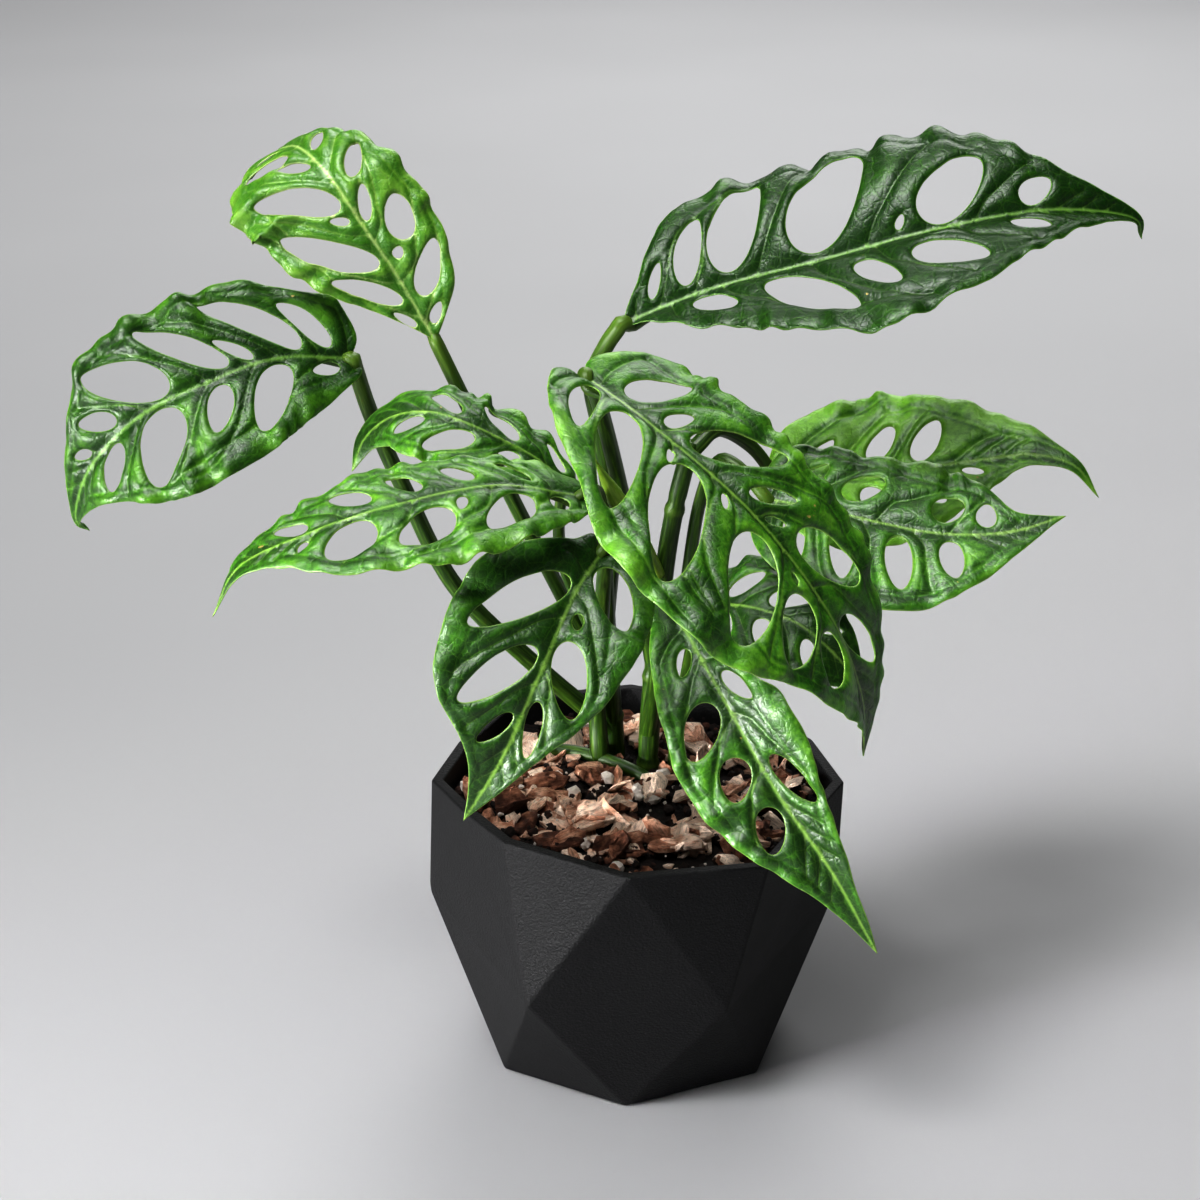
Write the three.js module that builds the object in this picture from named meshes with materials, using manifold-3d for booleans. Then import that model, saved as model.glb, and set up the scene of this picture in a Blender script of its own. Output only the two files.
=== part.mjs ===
// Potted monstera obliqua: a faceted black pot, potting mix with bark chips and perlite,
// two canes, a runner, and thin leaf blades full of holes, each on its own petiole.
// Millimetres, +Z up. The origin is the centre of the pot's underside; the front looks along -Y.

import * as THREE from 'three';
import * as BufferGeometryUtils from 'three/addons/utils/BufferGeometryUtils.js';
import Module from 'manifold-3d';

const wasm = await Module();
wasm.setup();

// Driving dimensions

const GAP = 0.3; // left between pieces that touch

const POT_HEIGHT = 112;
const POT_WALL = 4.8;
const POT_FLOOR = 7;
const POT_WIDEST_WALL = 6; // wall at the belly corners
const POT_FOOT_WALL = 7; // wall at the foot corners
// Rim corners: angle in degrees from +X, radius
const RIM = [[184, 78], [207, 72], [230, 75.5], [268, 86], [302, 90.5], [355, 81],
  [24, 78], [56, 80], [90, 86], [124, 88], [157, 75]];
// Belly corners: angle, radius, height
const BELLY = [[180, 80, 62], [240, 80, 50], [295, 80.5, 50], [0, 80, 62], [62, 80, 50], [118, 80, 50]];
const FOOT_RADIUS = 60;
const FOOT_ANGLES = [213, 267, 323, 33, 87, 143];
const FOOT_RISE = 0.3; // every other foot corner is this much higher, so the pot stands on three

const MIX_TOP = 103.5; // mean height of the potting mix
const MIX_LUMPS = 1.3; // how far its surface rises and falls
const MIX_CELL = 16; // size of a cell of that surface
const CHIP_COUNT = 52;
const CHIP_SIZE = [9, 17];
const CHIP_CORNERS = 5;
const CHIP_LENGTH = [0.75, 1.15]; // half length and half width at the corners, as shares of the size
const CHIP_WIDTH = [0.5, 0.8];
const CHIP_THICKNESS = [2.6, 4.2];
const CHIP_TILT = [-0.6, 0.6]; // radians
const CHIP_LIFT = [-0.6, 1]; // how high a chip's middle is above the surface
const PERLITE_COUNT = 22;
const PERLITE_RADIUS = [1.7, 2.5];
const PERLITE_LIFT = [0, 0.8];
const SPREAD = 70; // chips and perlite lie within this radius
const BLOCK = 190; // side of the square block that the lumpy surface is cut from
const MIX_SEED = 41;
const BLADE_SEED = 7;

const BLADE_THICKNESS = 0.8;
const MIDRIB_DEPTH = 1.3; // how far the midrib stands out of a blade's underside, at its base
const MIDRIB_FADE = 0.8; // share of that depth which is gone at the tip
const MIDRIB_SAMPLES = 240;
const HOLE_TAPER = 0.18; // how much wider than its middle a hole is towards the midrib
// Spacing of a blade's points along its margin, round its holes, along its midrib and inside it
const MARGIN_STEP = 6;
const HOLE_STEP = 4.2;
const HOLE_POINTS = [7, 15]; // fewest and most points round a hole
const MIDRIB_STEP = 8;
const FIELD_STEP = 10;
const FIELD_JITTER = 3; // the inside points are moved at random by up to this much
const FIELD_CLEAR = 5; // least distance from an inside point to any other
const MIDRIB_CLEAR = 1.5; // the same for a point on the midrib
const STALK_SIDES = 7;
const STALK_STEP = 11;

// Leaf blades. midrib: from the petiole joint to the tip, in the part's frame.
// At the base and at the tip: face, the way the upper side looks; fold, the angle in degrees at
// which the left and right halves leave the midrib, up positive; curl, how much that angle then
// changes for each millimetre. left, right: the margins in the flat blade, x along the midrib
// and y across it. holes: the two ends and the width, also in the flat blade. ruffle: height,
// length and phase of the margin's waves.
const BLADES = {
  a: {
    colour: '#7fb53a',
    midrib: [[-73, 10, 282], [-87, 4, 310], [-98, 2, 328], [-109, 6, 344], [-120, 20, 351],
      [-128, 38, 348], [-137, 52, 341]],
    base: { face: [-0.1, -0.9, 0.4], fold: [12, 20], curl: [-0.7, -1] },
    tip: { face: [-0.45, 0.05, 0.67], fold: [12, 5], curl: [-1.2, -3.5] },
    left: [[8, 4], [20, 12], [32, 21], [46, 29], [60, 34], [75, 37], [92, 37], [107, 31], [119, 20],
      [127, 8]],
    right: [[8, -8], [18, -17], [30, -22], [46, -26], [59, -26], [70, -25], [82, -22], [95, -17],
      [108, -11], [120, -5]],
    holes: [[9, 3, 18, 8, 3], [20, 3, 42, 21, 7], [37, 3, 64, 29, 10], [56, 3, 60, 9, 3],
      [62, 3, 86, 28, 11], [82, 3, 92, 12, 6], [94, 6, 106, 22, 8], [109, 3, 117, 12, 6],
      [7, -2, 14, -9, 4], [19, -4, 35, -19, 9], [36, -3, 39, -7, 4], [40, -10, 56, -16, 11],
      [53, -2, 65, -8, 5], [69, -6, 80, -17, 6], [88, -3, 97, -10, 5]],
    ruffle: [2, 17, 0],
  },
  b: {
    colour: '#2f6a2c',
    midrib: [[-103, 0, 279], [-129, -10, 282], [-153, -20, 276], [-177, -25, 265], [-197, -20, 244],
      [-206, -8, 221], [-203, 0, 212]],
    base: { face: [0, -0.8, 0.6], fold: [14, 20], curl: [-0.8, -0.8] },
    tip: { face: [-0.3, -0.8, 0.5], fold: [14, 20], curl: [-0.8, -0.8] },
    left: [[-3, 6], [5, 14], [14, 22], [25, 28], [41, 33], [58, 36], [76, 37], [91, 32], [106, 21],
      [120, 12], [137, 4]],
    right: [[-2, -8], [2, -17], [8, -23], [19, -24], [33, -31], [48, -34], [64, -34], [80, -33], [93, -29],
      [103, -19], [115, -11], [132, -4]],
    holes: [[8, -4, 25, -20, 7], [19, -3, 46, -28, 9], [36, -2, 47, -13, 4], [45, -3, 71, -27, 9],
      [68, -3, 92, -24, 14], [90, -4, 103, -13, 7], [107, -3, 114, -7, 4],
      [5, 3, 15, 6, 6], [25, 3, 45, 26, 14], [50, 3, 59, 20, 9], [70, 3, 89, 27, 18], [94, 3, 109, 14, 11]],
    ruffle: [2.2, 19, 1],
  },
  c: {
    colour: '#4f9a33',
    midrib: [[-19, -55, 246], [-49, -75, 257], [-84, -88, 254], [-111, -92, 246], [-135, -90, 233],
      [-146, -84, 212]],
    base: { face: [0, -0.36, 0.93], fold: [-4, -2], curl: [-0.3, -0.2] },
    tip: { face: [0, -0.38, 0.92], fold: [-4, -2], curl: [-0.3, -0.2] },
    left: [[-2, 6], [5, 12], [14, 17], [25, 22], [37, 27], [50, 30], [64, 30], [78, 27], [92, 24], [104, 18],
      [114, 11], [127, 6], [142, 2]],
    right: [[-5, -7], [2, -16], [12, -20], [26, -19], [44, -18], [64, -20], [79, -22], [94, -18], [108, -16],
      [121, -10], [132, -6], [145, -2]],
    holes: [[19, -6, 31, -13, 6], [43, -5, 53, -13, 6], [62, -5, 73, -14, 6], [80, -6, 95, -13, 7],
      [104, -3, 117, -7, 5],
      [9, 3, 17, 9, 7], [25, 6, 46, 18, 12], [50, 3, 53, 9, 4], [56, 9, 76, 17, 13], [82, 6, 100, 13, 14],
      [105, 3, 109, 6, 3]],
    ruffle: [1.6, 18, 2],
  },
  d: {
    colour: '#3f8a30',
    midrib: [[-23, -20, 237], [-37, -24, 250], [-58, -26, 262], [-74, -22, 266], [-88, -16, 262],
      [-98, -14, 253], [-103, -16, 241]],
    base: { face: [0, -0.5, 0.85], fold: [0, -5], curl: [-0.6, -1.5] },
    tip: { face: [-0.3, -0.5, 0.85], fold: [0, -5], curl: [-0.6, -1.5] },
    left: [[-2, 6], [8, 11], [21, 14], [43, 19], [62, 20], [77, 14], [92, 6]],
    right: [[-2, -6], [8, -14], [18, -20], [30, -21], [46, -19], [62, -16], [78, -12], [92, -5]],
    holes: [[6, 3, 18, 8, 5], [24, 3, 34, 11, 6], [42, 4, 58, 15, 8], [62, 3, 75, 8, 6],
      [4, -4, 14, -11, 6], [26, -4, 42, -12, 7], [50, -4, 64, -10, 6]],
    ruffle: [1.5, 15, 0.5],
  },
  e: {
    colour: '#3c8a2c',
    midrib: [[-12, -62, 228], [-22, -85, 220], [-34, -105, 198], [-46, -112, 172], [-60, -108, 146]],
    base: { face: [0.25, -0.72, 0.65], fold: [18, 18], curl: [-0.7, -0.7] },
    tip: { face: [0.1, -0.95, 0.25], fold: [18, 18], curl: [-0.7, -0.7] },
    left: [[-3, 6], [-1, 14], [7, 23], [20, 28], [35, 29], [48, 27], [60, 24], [71, 19], [81, 13], [92, 8],
      [105, 4]],
    right: [[-3, -6], [6, -11], [15, -18], [24, -29], [34, -36], [47, -38], [60, -37], [70, -34], [79, -27],
      [86, -18], [95, -10], [107, -4]],
    holes: [[22, -3, 52, -30, 12], [50, -4, 75, -23, 11], [73, -3, 86, -11, 6],
      [7, 4, 31, 21, 13], [32, 4, 38, 6, 4], [43, 4, 67, 16, 12], [66, 3, 85, 7, 6]],
    ruffle: [1.8, 20, 2.5],
  },
  f: {
    colour: '#35802c',
    midrib: [[-18, -60, 291], [4, -85, 282], [37, -105, 258], [63, -108, 224], [76, -100, 191],
      [79, -88, 161]],
    base: { face: [0.42, -0.55, 0.75], fold: [12, 22], curl: [-0.6, -0.8] },
    tip: { face: [0.68, -0.55, 0.5], fold: [12, 22], curl: [-0.6, -0.8] },
    left: [[-6, 6], [-5, 16], [1, 28], [12, 36], [28, 37], [45, 35], [61, 38], [76, 35], [92, 35],
      [109, 35], [122, 33], [135, 27], [149, 23], [162, 16], [176, 9]],
    right: [[-6, -8], [0, -17], [10, -25], [24, -35], [40, -45], [54, -55], [70, -59], [87, -58], [100, -56],
      [113, -49], [127, -37], [142, -28], [157, -18], [172, -9]],
    holes: [[15, 5, 29, 25, 16], [37, 4, 42, 14, 6], [48, 5, 76, 28, 14], [75, 5, 89, 18, 6],
      [85, 3, 92, 7, 3], [97, 8, 127, 20, 15], [130, 4, 156, 12, 10],
      [9, -4, 28, -29, 9], [28, -5, 52, -45, 14], [47, -3, 51, -12, 3], [55, -7, 77, -51, 18],
      [70, -3, 74, -11, 3], [87, -7, 103, -46, 19], [104, -4, 107, -9, 4], [112, -9, 120, -36, 17],
      [131, -5, 136, -24, 16]],
    ruffle: [2.2, 23, 0],
  },
  g: {
    colour: '#2b6b28',
    midrib: [[-5, 0, 292], [27, 0, 305], [66, -5, 317], [104, -10, 329], [144, -5, 335], [176, 5, 330],
      [182, 8, 321]],
    base: { face: [0, -0.65, 0.75], fold: [32, 28], curl: [-1.6, -0.5] },
    tip: { face: [0, -0.65, 0.75], fold: [32, 28], curl: [-1.6, -0.5] },
    left: [[4, 5], [12, 14], [20, 26], [28, 37], [38, 48], [51, 56], [67, 60], [85, 60], [104, 57], [122, 50],
      [138, 40], [150, 28], [161, 18], [174, 10], [190, 4]],
    right: [[8, -4], [18, -12], [28, -20], [42, -26], [55, -32], [69, -36], [82, -41], [94, -45], [106, -42],
      [117, -37], [129, -33], [140, -26], [152, -21], [164, -14], [177, -8], [191, -3]],
    holes: [[13, 4, 20, 16, 4], [26, 4, 35, 30, 9], [41, 4, 54, 44, 17], [70, 4, 93, 44, 24],
      [104, 3, 107, 8, 3], [114, 4, 138, 24, 18], [149, 4, 160, 11, 9],
      [27, -4, 44, -14, 9], [55, -6, 88, -31, 14], [88, -8, 103, -25, 9], [108, -9, 131, -21, 13],
      [143, -4, 156, -10, 7]],
    ruffle: [2.2, 21, 1],
  },
  h: {
    colour: '#3d8433',
    midrib: [[54, 32, 222], [86, 26, 224], [115, 20, 231], [137, 18, 235], [150, 15, 237], [164, 10, 234],
      [173, 6, 223]],
    base: { face: [0, -0.6, 0.8], fold: [8, 8], curl: [-0.5, -0.5] },
    tip: { face: [0.1, -0.6, 0.8], fold: [8, 8], curl: [-0.5, -0.5] },
    left: [[-3, 8], [1, 20], [12, 32], [25, 37], [39, 39], [51, 36], [63, 32], [74, 28], [84, 21], [94, 14],
      [106, 6], [119, 2]],
    right: [[-3, -8], [4, -19], [14, -27], [28, -32], [43, -32], [58, -28], [71, -21], [83, -13], [93, -7],
      [106, -4], [119, -2]],
    holes: [[36, 7, 46, 21, 9], [54, 4, 64, 20, 10], [12, 5, 21, 17, 6],
      [14, -5, 24, -20, 8], [34, -5, 45, -22, 9], [54, -4, 64, -17, 7], [71, -3, 79, -6, 4]],
    ruffle: [1.6, 18, 0],
  },
  i: {
    colour: '#3f8a33',
    midrib: [[48, -8, 228], [76, -20, 226], [107, -28, 222], [134, -28, 222], [156, -22, 226]],
    base: { face: [0, -0.6, 0.8], fold: [10, 6], curl: [-0.6, -0.5] },
    tip: { face: [0.1, -0.6, 0.8], fold: [10, 6], curl: [-0.6, -0.5] },
    left: [[-4, 9], [-2, 19], [6, 26], [18, 28], [32, 27], [46, 29], [60, 30], [75, 25], [87, 18], [95, 8],
      [105, 3]],
    right: [[-3, -9], [3, -21], [15, -30], [32, -36], [50, -36], [63, -32], [75, -23], [85, -15], [94, -8],
      [104, -3]],
    holes: [[8, 4, 18, 19, 8], [27, 8, 41, 17, 10], [62, 8, 75, 12, 10], [82, 3, 85, 12, 8],
      [12, -5, 20, -24, 8], [31, -5, 37, -27, 9], [51, -4, 56, -26, 9], [69, -3, 71, -19, 8]],
    ruffle: [1.5, 19, 1],
  },
  j: {
    colour: '#3a7f2e',
    midrib: [[24, -20, 191], [40, -32, 195], [57, -42, 193], [71, -48, 183], [82, -50, 169]],
    base: { face: [0, -0.6, 0.8], fold: [6, 6], curl: [-0.5, -0.5] },
    tip: { face: [0.1, -0.6, 0.8], fold: [6, 6], curl: [-0.5, -0.5] },
    left: [[-2, 6], [3, 15], [11, 22], [25, 23], [40, 20], [53, 15], [64, 9]],
    right: [[-2, -6], [6, -13], [17, -20], [30, -25], [43, -25], [55, -20], [66, -10]],
    holes: [[11, 4, 21, 16, 7], [28, 4, 42, 14, 8], [48, 3, 56, 9, 4],
      [10, -3, 20, -14, 6], [28, -4, 40, -18, 8], [48, -3, 57, -13, 6]],
    ruffle: [1.4, 16, 2],
  },
  k: {
    colour: '#37782f',
    midrib: [[11, -58, 208], [28, -85, 185], [48, -103, 154], [67, -112, 128], [84, -112, 96]],
    base: { face: [-0.3, -0.85, 0.5], fold: [22, 18], curl: [-0.7, -0.6] },
    tip: { face: [-0.35, -0.9, 0.35], fold: [22, 18], curl: [-0.7, -0.6] },
    left: [[-2, 5], [9, 7], [22, 6], [33, 9], [42, 15], [51, 20], [62, 21], [73, 20], [84, 17], [97, 13],
      [109, 9], [123, 5], [137, 3]],
    right: [[-2, -6], [8, -11], [18, -16], [32, -21], [44, -24], [57, -27], [71, -27], [84, -24], [97, -19],
      [109, -14], [121, -9], [135, -4]],
    holes: [[35, 4, 48, 10, 6], [68, 5, 90, 11, 8],
      [20, -3, 29, -9, 5], [42, -5, 57, -20, 12], [63, -6, 76, -14, 11], [83, -5, 97, -13, 10]],
    ruffle: [1.4, 19, 0],
  },
};

// Stalks: the points of the middle line from the foot up, and the radius at the foot and at the top
const CANES = {
  cane_1: {
    route: [[5, 26, 70], [7, 23, 130], [11, 16, 184], [15, 11, 216], [21, 9, 244]],
    radius: [4.4, 3.4],
    rings: [0.2, 0.42, 0.62, 0.84], // places of the node rings, as shares of the length
  },
  cane_2: { route: [[-6, 38, 70], [-8, 37, 120], [-11, 34, 160]], radius: [4.8, 3.6], rings: [0.55, 0.8] },
};
const RING_DEPTH = 0.5; // how far a node ring stands out of a cane
const RUNNER = {
  route: [[-52, 40, 96], [-40, 36, 104], [-26, 31, 107], [-10, 22, 107], [5, 12, 104], [14, 6, 96]],
  radius: [2.6, 2.8],
};
// A young leaf, still rolled up
const NEW_LEAF = {
  route: [[9, 12, 190], [1, -3, 212], [-8, -16, 232], [-15, -26, 249]],
  radius: [2.6, 3.4],
};

// Petioles: what each one grows from, its route up to the blade's joint, and its radii
const PETIOLES = {
  a: { from: 'cane_2', route: [[-8, 38, 130], [-27, 36, 170], [-45, 20, 215], [-62, 13, 256]],
    radius: [3.2, 2.6] },
  b: { from: 'cane_2', route: [[-7, 38, 112], [-38, 26, 146], [-68, 14, 184], [-86, 9, 225], [-97, 5, 255]],
    radius: [3.6, 3] },
  c: { from: 'cane_2', route: [[-8, 37, 116], [-10, 8, 182], [-13, -24, 233]], radius: [2.8, 2.4] },
  d: { from: 'cane_2', route: [[-9, 36, 140], [-27, 24, 190], [-27, -2, 227]], radius: [2.6, 2.2] },
  e: { from: 'runner', route: [[-13, 25, 107], [-14, 24, 135], [-12, -5, 185], [-11, -38, 217]],
    radius: [3.4, 2.7] },
  f: { from: 'cane_1', route: [[8, 21, 150], [-3, 6, 215], [-13, -24, 268]], radius: [3.2, 2.8] },
  g: { from: 'cane_2', route: [[-11, 34, 158], [-8, 30, 200], [-13, 20, 244], [-16, 12, 266], [-11, 3, 282]],
    radius: [3.2, 3.2] },
  h: { from: 'cane_1', route: [[21, 9, 240], [31, 14, 247], [44, 24, 237]], radius: [2.8, 2.4] },
  i: { from: 'cane_1', route: [[9, 20, 140], [18, 17, 170], [24, 12, 216], [31, 4, 238], [40, -3, 236]],
    radius: [2.8, 2.5] },
  j: { from: 'mix', route: [[15, 22, 80], [17, 17, 120], [21, -2, 162]], radius: [2.8, 2.2] },
  k: { from: 'cane_1', route: [[6, 24, 118], [9, -2, 160], [11, -38, 196]], radius: [3, 2.4] },
};

// Helpers

function seeded(seed) {
  let state = seed;
  return () => {
    state = (state * 16807) % 2147483647;
    return state / 2147483647;
  };
}

function between(random, [low, high]) {
  return low + (high - low) * random();
}

function polar(angle, radius, z) {
  const turn = THREE.MathUtils.degToRad(angle);
  return new THREE.Vector3(radius * Math.cos(turn), radius * Math.sin(turn), z);
}

function toGeometry(points, triangles) {
  const geometry = new THREE.BufferGeometry();
  const numbers = points.flatMap((p) => [p.x, p.y, p.z]);
  geometry.setAttribute('position', new THREE.Float32BufferAttribute(numbers, 3));
  geometry.setIndex(triangles.flat());
  return geometry;
}

function toSolid(geometry) {
  const bare = geometry.clone();
  bare.deleteAttribute('normal');
  bare.deleteAttribute('uv');
  const merged = BufferGeometryUtils.mergeVertices(bare, 1e-4);
  return new wasm.Manifold(new wasm.Mesh({
    numProp: 3,
    vertProperties: new Float32Array(merged.attributes.position.array),
    triVerts: new Uint32Array(merged.index.array),
  }));
}

function fromSolid(solid) {
  const mesh = solid.getMesh();
  const geometry = new THREE.BufferGeometry();
  geometry.setAttribute('position', new THREE.Float32BufferAttribute(mesh.vertProperties, 3));
  geometry.setIndex(Array.from(mesh.triVerts));
  return geometry;
}

// The solid with a gap's width added all round it
function swollen(solid) {
  const shifts = [[GAP, 0, 0], [-GAP, 0, 0], [0, GAP, 0], [0, -GAP, 0], [0, 0, GAP], [0, 0, -GAP]];
  return wasm.Manifold.union(shifts.map((shift) => solid.translate(shift)));
}

function largestPiece(solid) {
  return solid.decompose().sort((p, q) => q.volume() - p.volume())[0];
}

// A smooth curve through points of two or three coordinates
function smoothCurve(list) {
  const points = list.map(([x, y, z = 0]) => new THREE.Vector3(x, y, z));
  return new THREE.CatmullRomCurve3(points, false, 'catmullrom', 0.5);
}

const plant = new THREE.Group();

function addPiece(name, geometry, { colour, roughness, metalness = 0 }) {
  const material = new THREE.MeshStandardMaterial({ color: colour, roughness, metalness });
  const mesh = new THREE.Mesh(geometry, material);
  mesh.name = name;
  plant.add(mesh);
}

// Pot: rim corners, belly corners and foot corners joined by flat facets

function facetedCup(rimInset, rimHeight, bellyInset, footInset, footHeight) {
  const rim = RIM.map(([angle, radius]) => polar(angle, radius - rimInset, rimHeight));
  const belly = BELLY.map(([angle, radius, z]) => polar(angle, radius - bellyInset, z));
  const foot = FOOT_ANGLES.map((angle, k) => (
    polar(angle, FOOT_RADIUS - footInset, footHeight + (k % 2) * FOOT_RISE)));
  const B = RIM.length;
  const F = B + BELLY.length;
  const triangles = [];
  const side = (p, q, r) => triangles.push([p, q, r]);
  // upper facets, in turn round the pot
  side(10, B, 0);
  side(0, B, 1);
  side(1, B, B + 1);
  side(1, B + 1, 2);
  side(2, B + 1, 3);
  side(3, B + 1, B + 2);
  side(3, B + 2, 4);
  side(4, B + 2, B + 3);
  side(4, B + 3, 5);
  side(5, B + 3, 6);
  side(6, B + 3, B + 4);
  side(6, B + 4, 7);
  side(7, B + 4, 8);
  side(8, B + 4, B + 5);
  side(8, B + 5, 9);
  side(9, B + 5, B);
  side(9, B, 10);
  // lower facets: each belly corner stands over a foot edge, each foot corner under a belly edge
  for (let k = 0; k < FOOT_ANGLES.length; k += 1) {
    const next = (k + 1) % FOOT_ANGLES.length;
    side(B + k, F + k, B + next);
    side(B + next, F + k, F + next);
  }
  for (let k = 1; k < B - 1; k += 1) side(0, k, k + 1);
  // underside: a level triangle on the three low foot corners, and a facet up to each other one
  side(F, F + 4, F + 2);
  side(F, F + 2, F + 1);
  side(F + 2, F + 4, F + 3);
  side(F + 4, F, F + 5);
  return toSolid(toGeometry([...rim, ...belly, ...foot], triangles));
}

// The pot's inside, smaller by the inset and up to the given height
function potInside(inset, height) {
  const wall = [POT_WALL + inset, height, POT_WIDEST_WALL + inset, POT_FOOT_WALL + inset];
  return facetedCup(...wall, POT_FLOOR + inset);
}

function makePot() {
  return facetedCup(0, POT_HEIGHT, 0, 0, 0).subtract(potInside(0, POT_HEIGHT + 1));
}

// Stalks: a tube along the route, widened or narrowed along its length, with node rings

function stalk({ route, radius, rings = [] }, extra = 0) {
  const curve = smoothCurve(route);
  const steps = Math.max(5, Math.round(curve.getLength() / STALK_STEP));
  const section = new THREE.Shape();
  for (let k = 0; k < STALK_SIDES; k += 1) {
    const turn = (2 * Math.PI * k) / STALK_SIDES;
    if (k === 0) section.moveTo(1, 0);
    else section.lineTo(Math.cos(turn), Math.sin(turn));
  }
  const tube = new THREE.ExtrudeGeometry(section, { steps, extrudePath: curve, bevelEnabled: false });
  const middle = curve.getSpacedPoints(steps);
  const place = tube.attributes.position;
  const point = new THREE.Vector3();
  for (let i = 0; i < place.count; i += 1) {
    point.fromBufferAttribute(place, i);
    let best = 0;
    middle.forEach((m, k) => {
      if (m.distanceTo(point) < middle[best].distanceTo(point)) best = k;
    });
    const along = best / steps;
    const ring = rings.some((r) => Math.abs(r - along) < 0.5 / steps) ? RING_DEPTH : 0;
    const size = radius[0] + (radius[1] - radius[0]) * along + extra + ring;
    point.sub(middle[best]).multiplyScalar(size).add(middle[best]);
    place.setXYZ(i, point.x, point.y, point.z);
  }
  return toSolid(tube);
}

// Blades: a flat pattern, bent along its midrib, folded and curled across it

function makeSurface(blade) {
  const { lerp, degToRad } = THREE.MathUtils;
  const curve = smoothCurve(blade.midrib);
  const steps = MIDRIB_SAMPLES;
  const middle = curve.getSpacedPoints(steps);
  const length = curve.getLength();
  const widest = Math.max(...blade.left.map((p) => p[1]), ...blade.right.map((p) => -p[1]));
  const [height, wave, phase] = blade.ruffle;
  const angle = (key, half, t) => degToRad(lerp(blade.base[key][half], blade.tip[key][half], t));

  return {
    length,
    place(x, y) {
      const at = (x / length) * steps;
      const k = Math.min(steps - 1, Math.max(0, Math.floor(at)));
      const t = THREE.MathUtils.clamp(x / length, 0, 1);
      const along = middle[k + 1].clone().sub(middle[k]);
      const point = middle[k].clone().addScaledVector(along, at - k);
      const before = middle[Math.max(0, k - 1)];
      const after = middle[Math.min(steps, k + 2)];
      const forward = after.clone().sub(before).normalize();
      const face = new THREE.Vector3(...blade.base.face).lerp(new THREE.Vector3(...blade.tip.face), t);
      const normal = face.addScaledVector(forward, -face.dot(forward)).normalize();
      const across = normal.clone().cross(forward);
      const half = y >= 0 ? 0 : 1;
      const reach = Math.abs(y);
      const fold = angle('fold', half, t);
      const curl = angle('curl', half, t);
      const end = fold + curl * reach;
      const out = (Math.sin(end) - Math.sin(fold)) / curl;
      const up = (Math.cos(fold) - Math.cos(end)) / curl;
      const ripple = Math.sin((2 * Math.PI * x) / wave + phase + half * 2);
      const lift = height * (reach / widest) ** 2 * ripple;
      const side = y >= 0 ? 1 : -1;
      point.addScaledVector(across, side * (out - lift * Math.sin(end)));
      point.addScaledVector(normal, up + lift * Math.cos(end));
      return point;
    },
  };
}

function normalAt(surface, x, y) {
  const step = 0.5;
  const along = surface.place(x + step, y).sub(surface.place(x - step, y));
  const across = surface.place(x, y + step).sub(surface.place(x, y - step));
  return along.cross(across).normalize();
}

function marginLoop(blade, length) {
  const corners = [[0, 0], ...blade.right, [length, 0], ...blade.left.slice().reverse()];
  const turnAt = blade.right.length + 1;
  const smooth = (list) => {
    const curve = smoothCurve(list);
    const count = Math.max(3, Math.round(curve.getLength() / MARGIN_STEP));
    return curve.getSpacedPoints(count).slice(0, -1).map((p) => [p.x, p.y]);
  };
  return [...smooth(corners.slice(0, turnAt + 1)), ...smooth([...corners.slice(turnAt), [0, 0]])];
}

function holeLoop([x0, y0, x1, y1, width]) {
  const centre = [(x0 + x1) / 2, (y0 + y1) / 2];
  const reach = [(x1 - x0) / 2, (y1 - y0) / 2];
  const half = Math.hypot(...reach);
  const wanted = Math.round(((half + width / 2) * Math.PI) / HOLE_STEP);
  const count = THREE.MathUtils.clamp(wanted, ...HOLE_POINTS);
  const loop = [];
  for (let k = 0; k < count; k += 1) {
    const turn = (2 * Math.PI * k) / count;
    const forward = Math.cos(turn);
    const aside = (Math.sin(turn) * (1 - HOLE_TAPER * forward) * width) / 2 / half;
    loop.push([
      centre[0] + forward * reach[0] - aside * reach[1],
      centre[1] + forward * reach[1] + aside * reach[0],
    ]);
  }
  return loop;
}

function inside([x, y], loop) {
  let odd = false;
  for (let i = 0, j = loop.length - 1; i < loop.length; j = i, i += 1) {
    const [xi, yi] = loop[i];
    const [xj, yj] = loop[j];
    if ((yi > y) !== (yj > y) && x < ((xj - xi) * (y - yi)) / (yj - yi) + xi) odd = !odd;
  }
  return odd;
}

function circleHolds([a, b, c], p) {
  const ax = a[0] - p[0];
  const ay = a[1] - p[1];
  const bx = b[0] - p[0];
  const by = b[1] - p[1];
  const cx = c[0] - p[0];
  const cy = c[1] - p[1];
  const value = (ax * ax + ay * ay) * (bx * cy - cx * by)
    - (bx * bx + by * by) * (ax * cy - cx * ay)
    + (cx * cx + cy * cy) * (ax * by - bx * ay);
  return value > 1e-9;
}

// Delaunay triangles of flat points, added one by one; triples run counterclockwise
function triangulate(points) {
  const far = 4000; // a triangle this large holds them all
  const all = [...points, [-far, -far], [far, -far], [0, far]];
  const n = points.length;
  let triangles = [[n, n + 1, n + 2]];
  for (let i = 0; i < n; i += 1) {
    const opened = triangles.filter((t) => circleHolds(t.map((k) => all[k]), all[i]));
    const edges = new Map();
    opened.forEach(([a, b, c]) => {
      [[a, b], [b, c], [c, a]].forEach(([p, q]) => {
        if (edges.has(`${q},${p}`)) edges.delete(`${q},${p}`);
        else edges.set(`${p},${q}`, [p, q]);
      });
    });
    triangles = triangles.filter((t) => !opened.includes(t));
    edges.forEach(([p, q]) => triangles.push([p, q, i]));
  }
  return triangles.filter((t) => t.every((k) => k < n));
}

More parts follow.
